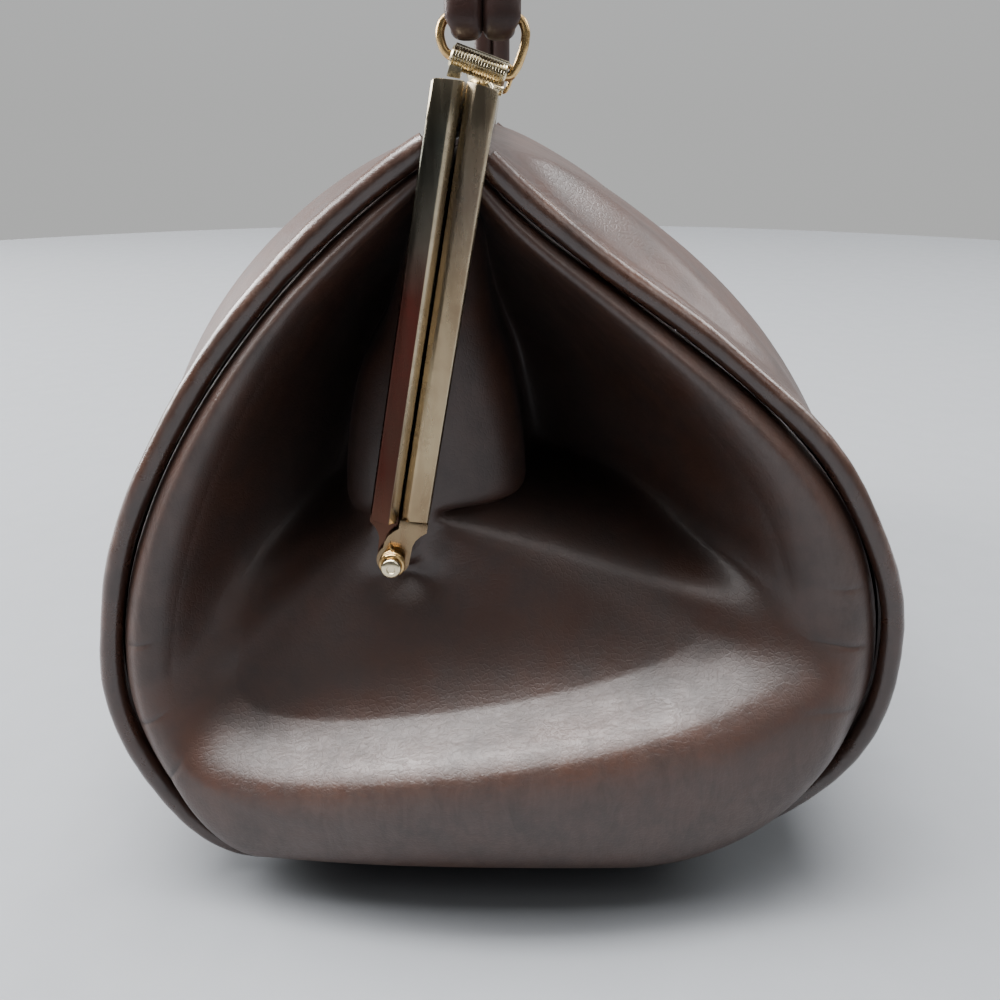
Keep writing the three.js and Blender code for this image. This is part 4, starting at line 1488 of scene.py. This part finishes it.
@dataclass
class FrameHalf:
    """One U-shaped half of the metal frame, with its hinge ears, in millimetres."""

    finishes: Finishes
    side: Side
    lip_bevel: float = 1.9
    edge_bevel: float = 1.0
    rounding: float = 0.2
    foot_cut: float = 2.2
    crown_angle: float = math.radians(5)
    slot_depth: float = 4.5
    arm_from: float = -2.4
    arm_steps: tuple[Span, ...] = ((4.0, 0.15), (5.4, 0.5), (6.6, 0.9), (7.6, 1.2), (9.6, 0.0))
    ear_rounding: float = 0.18

    def build(self) -> None:
        """Shape the channel, fuse the ears to it and dress it."""
        piece = self.channel()
        for end in End:
            fuse(piece, self.ear(end))
        drop_fins(piece)
        place(piece, SHAPE.metal.matrix())
        finish = self.finishes.rosy if self.side is Side.BACK else self.finishes.plate
        dress(piece, finish, Slot.FRAME, f"frame_{self.side.label}", angle=25)

    def channel(self) -> Piece:
        """Extrude the channel up a leg, along the bar and down the other leg, then bevel and slot it.

        Returns:
            The channel in the frame's own millimetres.
        """
        m = SHAPE.metal
        leg = m.height - m.depth - m.foot
        inner = m.half - m.depth
        top = m.height - m.depth
        middle = (m.half - m.depth / 2, self.side.value * (m.gap + m.width) / 2, m.foot + leg / 2)
        block((m.depth, m.width - m.gap, leg), middle)
        piece = fresh(f"frame_{self.side.label}_channel")
        extrude_faces(piece, lambda c, n: n.z > FACING, (0, 0, m.depth))
        extrude_faces(piece, lambda c, n: n.x < -FACING and c.z > top, (-2 * inner, 0, 0))
        extrude_faces(piece, lambda c, n: n.x < -FACING and c.z > top and c.x < 0, (-m.depth, 0, 0))
        extrude_faces(piece, lambda c, n: n.z < -FACING and c.x < -inner and c.z > m.foot + 1, (0, 0, -leg))

        def on_rim(point: Vector, u: float) -> bool:
            """Whether a point lies on the outer rim at this place across the half."""
            outside = abs(point.x) > m.half - CLOSE or point.z > m.height - CLOSE
            return outside and abs(abs(point.y) - u) < CLOSE

        def outer_edge(a: Vector, b: Vector) -> bool:
            """Whether an edge runs along the rim away from the closing plane."""
            return on_rim(a, m.width) and on_rim(b, m.width)

        def leg_lip(a: Vector, b: Vector) -> bool:
            """Whether an edge runs up a leg's rim by the closing plane."""
            return on_rim(a, m.gap) and on_rim(b, m.gap) and abs(a.x - b.x) < CLOSE

        def foot_corner(a: Vector, b: Vector) -> bool:
            """Whether an edge is the outer corner of a leg's foot."""
            low = max(a.z, b.z) < m.foot + CLOSE
            return low and min(abs(a.y), abs(b.y)) > m.width - CLOSE and abs(a.x - b.x) > 1

        def inside(middle: Vector, normal: Vector) -> bool:
            """Whether a face looks into the frame."""
            on_leg = abs(normal.x) > FACING and abs(middle.x) < inner + 0.1
            return on_leg or (normal.z < -FACING and middle.z > top - 0.1)

        bevels = (
            (foot_corner, self.foot_cut, 2),
            (leg_lip, self.lip_bevel, 1),
            (outer_edge, self.edge_bevel, 3),
        )
        for test, offset, segments in bevels:
            pick_edges(piece, test)
            bpy.ops.mesh.bevel(offset=offset, segments=segments, affect="EDGES")
        pick_faces(piece, inside)
        bpy.ops.mesh.inset(thickness=m.slot_in - m.gap, use_boundary=True)
        bpy.ops.mesh.extrude_region_shrink_fatten(TRANSFORM_OT_shrink_fatten={"value": -self.slot_depth})
        self.crown(piece)
        soften = {"segments": 2, "limit_method": "ANGLE", "angle_limit": 0.5}
        apply_modifier(piece, "BEVEL", width=self.rounding, **soften)
        return piece

    def crown(self, piece: Piece) -> None:
        """Let the outer face fall away from the closing plane.

        Args:
            piece: The channel in the frame's own millimetres.
        """
        deselect()
        m = SHAPE.metal
        for point in piece.data.vertices:
            fall = math.tan(self.crown_angle) * (abs(point.co.y) - m.gap)
            if abs(point.co.x) > m.half - m.depth / 2:
                point.co.x -= math.copysign(fall, point.co.x)
            if point.co.z > m.height - m.depth / 2:
                point.co.z -= fall

    def ear(self, end: End) -> Piece:
        """Round ear whose flared arm reaches up into the leg's foot.

        Args:
            end: End of the bag.

        Returns:
            The ear in the frame's own millimetres.
        """
        h = HINGE
        sign = self.side.value
        x = (h.back_ear_x if self.side is Side.BACK else h.front_ear_x) + h.ear_t / 2
        deselect()
        turn = (0, math.pi / 2, 0)
        bpy.ops.mesh.primitive_cylinder_add(vertices=56, radius=h.ear_r, depth=h.ear_t, rotation=turn)
        bpy.ops.object.transform_apply(location=True, rotation=True, scale=True)
        piece = bpy.context.object
        pick_faces(piece, lambda c, n: abs(n.x) < 0.1 and c.z > 0 and sign * c.y > self.arm_from)
        level = 0.0
        for height, shift in self.arm_steps:
            move = (0, sign * shift, height - level)
            bpy.ops.mesh.extrude_region_move(TRANSFORM_OT_translate={"value": move})
            bpy.ops.transform.resize(value=(1, 1, 0), center_override=(0, 0, height))
            level = height
        soften = {"segments": 2, "limit_method": "ANGLE", "angle_limit": 0.9}
        apply_modifier(piece, "BEVEL", width=self.ear_rounding, **soften)
        piece.data.transform(Matrix.Translation((end.value * x, 0, 0)))
        return piece


@dataclass
class Hinge:
    """Rivet through the ears, with the coiled spring under its head, in millimetres."""

    finishes: Finishes
    end: End
    sides: int = 40
    wire_sides: int = 12
    wire_share: float = 0.48
    turn_steps: int = 72
    hook_steps: tuple[Triple, ...] = ((-0.35, -0.7, -0.1), (-1.3, -0.5, -0.5), (-2.2, 0.1, -1.0))

    def build(self) -> None:
        """Turn the rivet, wind the spring and dress both."""
        h = HINGE
        name = self.end.label
        face = Matrix.Rotation(0 if self.end is End.NEAR else math.pi, 4, "Z")
        along_x = SHAPE.metal.matrix() @ face @ Matrix.Rotation(math.pi / 2, 4, "Y")
        tail = h.back_ear_x - h.fit - h.tail_t
        head = h.spring_x + h.turns * h.wire + h.fit
        profile = (
            (h.tail_r - 0.5, tail),
            (h.tail_r, tail + 0.3),
            (h.tail_r, tail + h.tail_t),
            (h.rivet_r, tail + h.tail_t),
            (h.rivet_r, head),
            (h.head_r - 0.15, head),
            (h.head_r, head + 0.15),
            (h.head_r, head + 0.65),
            (h.head_r - 0.2, head + 0.95),
            (h.head_r - 0.6, head + 1.15),
            (0.95, head + 1.22),
            (0.8, head + 1.02),
            (0.3, head + 0.95),
        )
        rivet = turned(f"hinge_rivet_{name}_turned", profile, self.sides)
        place(rivet, along_x)
        dress(rivet, self.finishes.bright, Slot.FRAME, f"hinge_rivet_{name}", angle=35)
        spring = self.spring(f"hinge_spring_{name}_coil")
        place(spring, along_x)
        dress(spring, self.finishes.wire, Slot.WIRE, f"hinge_spring_{name}", angle=60)

    def spring(self, name: str) -> Piece:
        """Wire wound round the rivet, with one end turned up into the gap between the halves.

        Args:
            name: Name of the piece.

        Returns:
            The spring about its own axis, in millimetres.
        """
        h = HINGE
        radius = h.spring_r - h.wire / 2
        start = Vector((-radius, 0, h.spring_x + h.wire / 2))
        wire = h.wire * self.wire_share
        upright = (math.pi / 2, 0, 0)
        deselect()
        bpy.ops.mesh.primitive_circle_add(
            vertices=self.wire_sides, radius=wire, location=start, rotation=upright
        )
        bpy.ops.object.transform_apply(location=True, rotation=True, scale=True)
        piece = fresh(name)
        turns = h.turns - 0.9
        steps = {"steps": self.turn_steps, "render_steps": self.turn_steps}
        apply_modifier(piece, "SCREW", angle=2 * math.pi * turns, screw_offset=h.wire * turns, **steps)
        bpy.ops.object.mode_set(mode="EDIT")
        bpy.ops.mesh.select_all(action="SELECT")
        bpy.ops.mesh.fill_holes(sides=0)
        bpy.ops.mesh.normals_make_consistent(inside=False)

        def wire_end(middle: Vector, normal: Vector) -> bool:
            """Whether a face is the cap at the wire's start."""
            at_start = abs(middle.z - start.z) < 0.2 and abs(middle.x - start.x) < 0.1
            return at_start and abs(normal.y) > 0.7

        pick_faces(piece, wire_end)
        for step in self.hook_steps:
            bpy.ops.mesh.extrude_region_move(TRANSFORM_OT_translate={"value": step})
        deselect()
        return piece


@dataclass
class HandleFitting:
    """Ringed barrel on the bar's end, and the wire bail that turns in it, in millimetres."""

    finishes: Finishes
    end: End
    x: float = 124
    u: float = 1.6
    radius: float = 2.3
    bore: float = 1.25
    length: float = 11.6
    rise: float = 3.4
    tilt: float = math.radians(9)
    sides: int = 40
    rings: int = 19
    groove: float = 0.16
    chamfer: float = 0.35
    margin: float = 0.2
    ring_flat: Span = (0.3, 0.75)
    fit: float = 0.35
    tab_u: float = -4.1
    tab_width: float = 2.6
    tab_depth: float = 4.2
    tab_sink: float = 0.3
    roll_size: Triple = (0.7, 11.1, 1.0)
    roll_in: float = 0.75
    roll_down: float = 0.15
    wire_r: float = 0.9
    bend: tuple[Span, ...] = (
        (0.6, 0),
        (4, 0),
        (6.2, 0),
        (7, 1.4),
        (7.35, 4.2),
        (7.2, 7),
        (6.4, 9.3),
        (4.8, 10.5),
        (-2.1, 8.7),
        (-6.9, 7.3),
        (-8.6, 6.2),
        (-9.2, 4.2),
        (-8.3, 1.6),
        (-6.4, 0),
        (-4, 0),
        (-0.6, 0),
    )
    bar: int = 8

    def matrix(self) -> Matrix:
        """Transform of the fitting's millimetres to the bag's metres."""
        lift = Matrix.Translation((self.end.value * self.x, self.u, SHAPE.metal.height + self.rise))
        return SHAPE.metal.matrix() @ lift @ Matrix.Rotation(-self.tilt, 4, "X")

    def bar_place(self) -> Vector:
        """Middle of the bail's top bar, in the bag's millimetres."""
        u, h = self.bend[self.bar]
        return (self.matrix() @ Vector((0, u, h))) / MM

    def build(self) -> None:
        """Shape and dress the barrel and the bail."""
        name = self.end.label
        barrel = self.barrel(f"handle_barrel_{name}_sleeve")
        place(barrel, self.matrix())
        dress(barrel, self.finishes.bright, Slot.FRAME, f"handle_barrel_{name}", angle=40)
        bail = self.bail(f"bail_{name}_wire")
        place(bail, self.matrix())
        dress(bail, self.finishes.wire, Slot.WIRE, f"bail_{name}", angle=60)

    def barrel(self, name: str) -> Piece:
        """Sleeve with fine rings, its rolled seam and its tab.

        Args:
            name: Name of the piece.

        Returns:
            The barrel in the fitting's millimetres.
        """
        half = self.length / 2
        low, edge = self.radius - self.groove, self.radius - self.chamfer
        profile = [(self.bore, -half), (edge, -half)]
        pitch = (self.length - 2 * self.margin) / self.rings
        for i in range(self.rings):
            at = -half + self.margin + i * pitch
            profile += [(low, at)] + [(self.radius, at + share * pitch) for share in self.ring_flat]
        profile += [(low, half - self.margin), (edge, half), (self.bore, half)]
        profile += [(self.bore, 0), (self.bore, -half)]
        piece = turned(name, profile, self.sides, hollow=True)
        piece.data.transform(Matrix.Rotation(-math.pi / 2, 4, "X"))
        left, right = self.tab_u - self.tab_width / 2, self.tab_u + self.tab_width / 2
        foot = (self.fit - self.rise + left * math.sin(self.tilt)) / math.cos(self.tilt)
        top = -self.bore - self.tab_sink
        tab = block((self.tab_depth, self.tab_width, top - foot), (0, self.tab_u, (top + foot) / 2))
        pick_edges(tab, lambda a, b: max(a.z, b.z) < foot + CLOSE and min(a.y, b.y) > right - CLOSE)
        bpy.ops.transform.translate(value=(0, 0, self.tab_width * math.tan(self.tilt)))
        roll = block(self.roll_size, (self.roll_in - self.radius, 0, self.radius - self.roll_down))
        for extra in (tab, roll):
            apply_modifier(extra, "BEVEL", width=0.2, segments=2, limit_method="ANGLE")
            fuse(piece, extra)
        return piece

    def bail(self, name: str) -> Piece:
        """Round wire bent through the bail's points.

        Args:
            name: Name of the piece.

        Returns:
            The bail in the fitting's millimetres.
        """
        deselect()
        bpy.ops.curve.primitive_bezier_curve_add()
        piece = bpy.context.object
        piece.name = name
        wire = piece.data
        wire.splines.clear()
        spline = wire.splines.new("BEZIER")
        spline.bezier_points.add(len(self.bend) - 1)
        for point, (u, h) in zip(spline.bezier_points, self.bend):
            point.co = (0, u, h)
            point.handle_left_type = point.handle_right_type = "AUTO"
        wire.dimensions = "3D"
        wire.bevel_depth = self.wire_r
        wire.bevel_resolution = 4
        wire.resolution_u = 8
        wire.use_fill_caps = True
        bpy.ops.object.convert(target="MESH")
        return fresh(name)


@dataclass
class StrapHandle:
    """Rolled leather strap that goes round each bail and back on itself, in millimetres."""

    finishes: Finishes
    bar: Vector
    bar_x: float = 124
    width: float = 14.8
    loop_width: float = 12.6
    narrow_z: float = -2.7
    wide_z: float = -0.6
    thickness: float = 2.9
    loop_r: float = 3.1
    ply: float = 3.4
    tongue: float = 30
    meet_z: float = 15
    part_z: float = 5.5
    part_in: float = 0.5
    arch_start: float = 24
    rise: float = 86
    rings: int = 460

    def line(self) -> np.ndarray:
        """Middle line of the strap, from one tongue to the other.

        Returns:
            X and Z of evenly spaced points, from the bail's bar.
        """
        ply, r = self.ply / 2, self.loop_r
        turn = np.radians(180 + np.arange(0, 181, 22.5))
        hook = [(-ply, self.tongue), (-ply, self.meet_z), (self.part_in - r, self.part_z)]
        hook += list(zip(r * np.cos(turn), r * np.sin(turn)))
        hook += [(r - self.part_in, self.part_z), (ply, self.meet_z)]
        near = np.array([(self.bar_x + x, z) for x, z in hook])
        over = np.radians(np.arange(0, 181, 6))
        arch = np.stack([(self.bar_x + ply) * np.cos(over), self.arch_start + self.rise * np.sin(over)], 1)
        far = near[::-1] * [-1, 1]
        points = np.concatenate([near, arch, far])
        dense = catmull(points[None], np.linspace(0, len(points) - 1, 4000))[0]
        run = distances(dense)
        return walk(dense, run, np.linspace(0, run[-1], self.rings))

    def section(self) -> np.ndarray:
        """Outline across the strap: two rolls with a slit between them outside, flat inside.

        Returns:
            Share of half the width and height of each point, closed.
        """
        t = self.thickness / 2
        v = np.cos(np.linspace(0, math.pi, 45))
        roll = np.clip((np.abs(v) - 0.5) / 0.5, -1, 1)
        top = t * (1.35 * (1 - np.abs(roll) ** 2.6) ** 0.5 - 0.35)
        under = np.linspace(-1, 1, 24)[1:-1]
        flat = -t * (1 - np.abs(under) ** 8) ** 0.4
        ring = np.concatenate([np.stack([v, top], 1), np.stack([under, flat], 1)])
        return np.concatenate([ring, ring[:1]])

    def build(self) -> None:
        """Shape and dress the strap."""
        line = self.line()
        outward = -beside(line)
        share, height = self.section().T
        half = lerp(self.loop_width, self.width, smoothstep(line[:, 1], self.narrow_z, self.wide_z)) / 2
        flat = line[:, None] + outward[:, None] * height[None, :, None]
        y = half[:, None] * share
        grid = np.stack([flat[..., 0], self.bar.y + y, self.bar.z + flat[..., 1]], 2)
        piece = grid_piece("handle_strap", grid[::-1])
        every = np.ones_like(y)
        edge = smoothstep(np.abs(share), 0.7, 1.0)
        # Painted shade in the slit between the two rolls, through the crease number.
        slit = bump(share, 0, 0.05) * (height > -0.9)
        bent = 1 - smoothstep(line[::-1, 1], 0, 22)
        paint(piece, "wear", 0.35 * edge * every)
        paint(piece, "strain", 0.4 * bent[:, None] * every)
        paint(piece, "crease", slit * every)
        close_sleeve(piece)
        dress(piece, self.finishes.strap, Slot.STRAP, "handle", angle=60)


@dataclass
class KissKnob:
    """One ball of the kiss lock on its leaning stalk and flange, in millimetres."""

    finishes: Finishes
    side: Side
    sides: int = 48
    ball_r: float = 4.2
    ball_steps: int = 22
    ball_open: float = 0.06
    x: float = 4.6
    rise: float = 5.0
    cross: float = 0.6
    stalk_r: float = 1.8
    stalk_from: float = 0.5
    flange_r: float = 2.7
    flange_t: float = 1.0
    flange_bevel: float = 0.4
    fit: float = 0.35

    def build(self) -> None:
        """Turn the ball with its stalk, fuse the flange to it and dress the knob."""
        m = SHAPE.metal
        sign = self.side.value
        foot = Vector((sign * self.x, sign * (m.gap + m.width) / 2, m.height + self.fit))
        ball = Vector((sign * self.x, -sign * self.cross, m.height + self.rise))
        reach = (ball - foot).length
        neck = math.asin(self.stalk_r / self.ball_r) - math.pi / 2
        angles = np.linspace(neck, math.pi / 2 - self.ball_open, self.ball_steps)
        profile = [(self.stalk_r, self.stalk_from)]
        profile += [(self.ball_r * math.cos(a), reach + self.ball_r * math.sin(a)) for a in angles]
        piece = turned(f"kiss_knob_{self.side.label}_ball", profile, self.sides)
        lean = (ball - foot).to_track_quat("Z", "Y").to_matrix().to_4x4()
        piece.data.transform(Matrix.Translation(foot) @ lean)
        rim = (
            (self.flange_r, 0),
            (self.flange_r, self.flange_t - self.flange_bevel),
            (self.flange_r - self.flange_bevel, self.flange_t),
        )
        flange = turned("flange", rim, self.sides)
        flange.data.transform(Matrix.Translation(foot))
        fuse(piece, flange)
        place(piece, m.matrix())
        dress(piece, self.finishes.bright, Slot.FRAME, f"kiss_knob_{self.side.label}", angle=40)


@dataclass(frozen=True)
class Lamp:
    """Soft rectangular lamp whose first side runs along the bag's Y, in metres and watts."""

    name: str
    at: Triple
    aim: Triple
    sides: Span
    power: float

    def build(self) -> None:
        """Hang the lamp and point it."""
        light = bpy.data.lights.new(self.name, "AREA")
        light.shape = "RECTANGLE"
        light.size, light.size_y = self.sides
        light.energy = self.power
        lamp = bpy.data.objects.new(self.name, light)
        back = (Vector(self.at) - Vector(self.aim)).normalized()
        side = (Vector((0, 1, 0)) - back * back.y).normalized()
        turn = Matrix((side, back.cross(side), back)).transposed()
        lamp.matrix_world = Matrix.Translation(self.at) @ turn.to_4x4()
        bpy.context.collection.objects.link(lamp)


LAMPS = (
    Lamp("key", (-0.1, -0.25, 2.2), (0.08, 0.0, 0.05), (2.2, 0.7), 190),
    Lamp("step", (0.55, -0.3, 2.2), (0.1, 0.0, 0.05), (2.6, 0.6), 46),
    Lamp("wing", (0.1, -2.2, 2.1), (0.1, -0.05, 0.05), (1.8, 0.9), 64),
    Lamp("fill", (1.25, -0.4, 2.2), (0.1, 0.0, 0.05), (3.2, 0.8), 8),
    Lamp("strip", (-0.1, -0.1, 2.3), (0.08, 0.0, 0.05), (5.0, 0.7), 12),
    Lamp("left", (-0.45, -1.4, 0.65), (0.13, -0.05, 0.14), (0.8, 0.8), 42),
    Lamp("right", (-0.45, 1.5, 1.1), (0.1, 0.05, 0.12), (0.8, 0.7), 16),
    Lamp("front", (0.75, 0.8, 0.75), (0.1, 0.0, 0.1), (0.6, 0.5), 1.6),
)


@dataclass
class Studio:
    """Pale floor, soft light and the camera at the photo's angle."""

    eye: Triple = (0.340, 0.0, 0.181)
    pitch: float = 21.5
    lens: float = 36.1
    sensor: float = 36
    clip_start: float = 0.01
    floor_r: float = 1.35
    floor_z: float = -0.0004
    floor_sides: int = 96
    low_sky: Colour = (0.6, 0.605, 0.6, 1)
    high_sky: Colour = (0.75, 0.77, 0.8, 1)
    high_at: float = 0.7
    dim_x: Span = (-0.95, 0.25)
    strength: Span = (0.85, 0.13)

    def build(self) -> None:
        """Set the stage."""
        deselect()
        bpy.ops.mesh.primitive_circle_add(
            vertices=self.floor_sides, radius=self.floor_r, fill_type="NGON", location=(0, 0, self.floor_z)
        )
        floor = bpy.context.object
        floor.name = "floor"
        floor.data.materials.append(FloorFinish().material())
        self.sky()
        for lamp in LAMPS:
            lamp.build()
        self.camera()

    def camera(self) -> None:
        """Set the camera up and make it the scene's."""
        eye = bpy.data.cameras.new("camera")
        eye.lens = self.lens
        eye.sensor_width = self.sensor
        eye.clip_start = self.clip_start
        camera = bpy.data.objects.new("camera", eye)
        camera.location = self.eye
        camera.rotation_euler = (math.radians(90 - self.pitch), 0, math.radians(90))
        bpy.context.collection.objects.link(camera)
        bpy.context.scene.camera = camera

    def sky(self) -> None:
        """Plain soft surroundings, brighter above and dimmer on the near side."""
        world = bpy.data.worlds.new("studio")
        bpy.context.scene.world = world
        world.use_nodes = True
        tree = world.node_tree
        back = tree.nodes["Background"]
        coord = tree.nodes.new("ShaderNodeTexCoord")
        split = tree.nodes.new("ShaderNodeSeparateXYZ")
        ramp = tree.nodes.new("ShaderNodeValToRGB")
        dim = tree.nodes.new("ShaderNodeMapRange")
        dim.interpolation_type = "SMOOTHSTEP"
        links = (
            (coord.outputs["Generated"], split.inputs[0]),
            (split.outputs["Z"], ramp.inputs["Fac"]),
            (split.outputs["X"], dim.inputs["Value"]),
            (ramp.outputs["Color"], back.inputs["Color"]),
            (dim.outputs["Result"], back.inputs["Strength"]),
        )
        for output, socket in links:
            tree.links.new(output, socket)
        stops = ((0.0, self.low_sky), (self.high_at, self.high_sky))
        for element, (at, colour) in zip(ramp.color_ramp.elements, stops):
            element.position = at
            element.color = colour
        names = ("From Min", "From Max", "To Min", "To Max")
        for name, value in zip(names, (*self.dim_x, *self.strength)):
            dim.inputs[name].default_value = value


def main() -> None:
    """Build every piece over the solids, then the studio."""
    logging.basicConfig(level=logging.INFO)
    finishes = Finishes.make()
    Wrap(finishes).build()
    for end in End:
        Gusset(finishes, end).build()
        Piping(finishes, end).build()
        Hinge(finishes, end).build()
        HandleFitting(finishes, end).build()
    for side in Side:
        FrameHalf(finishes, side).build()
        KissKnob(finishes, side).build()
    StrapHandle(finishes, HandleFitting(finishes, End.NEAR).bar_place()).build()
    Studio().build()


if __name__ == "__main__":
    main()
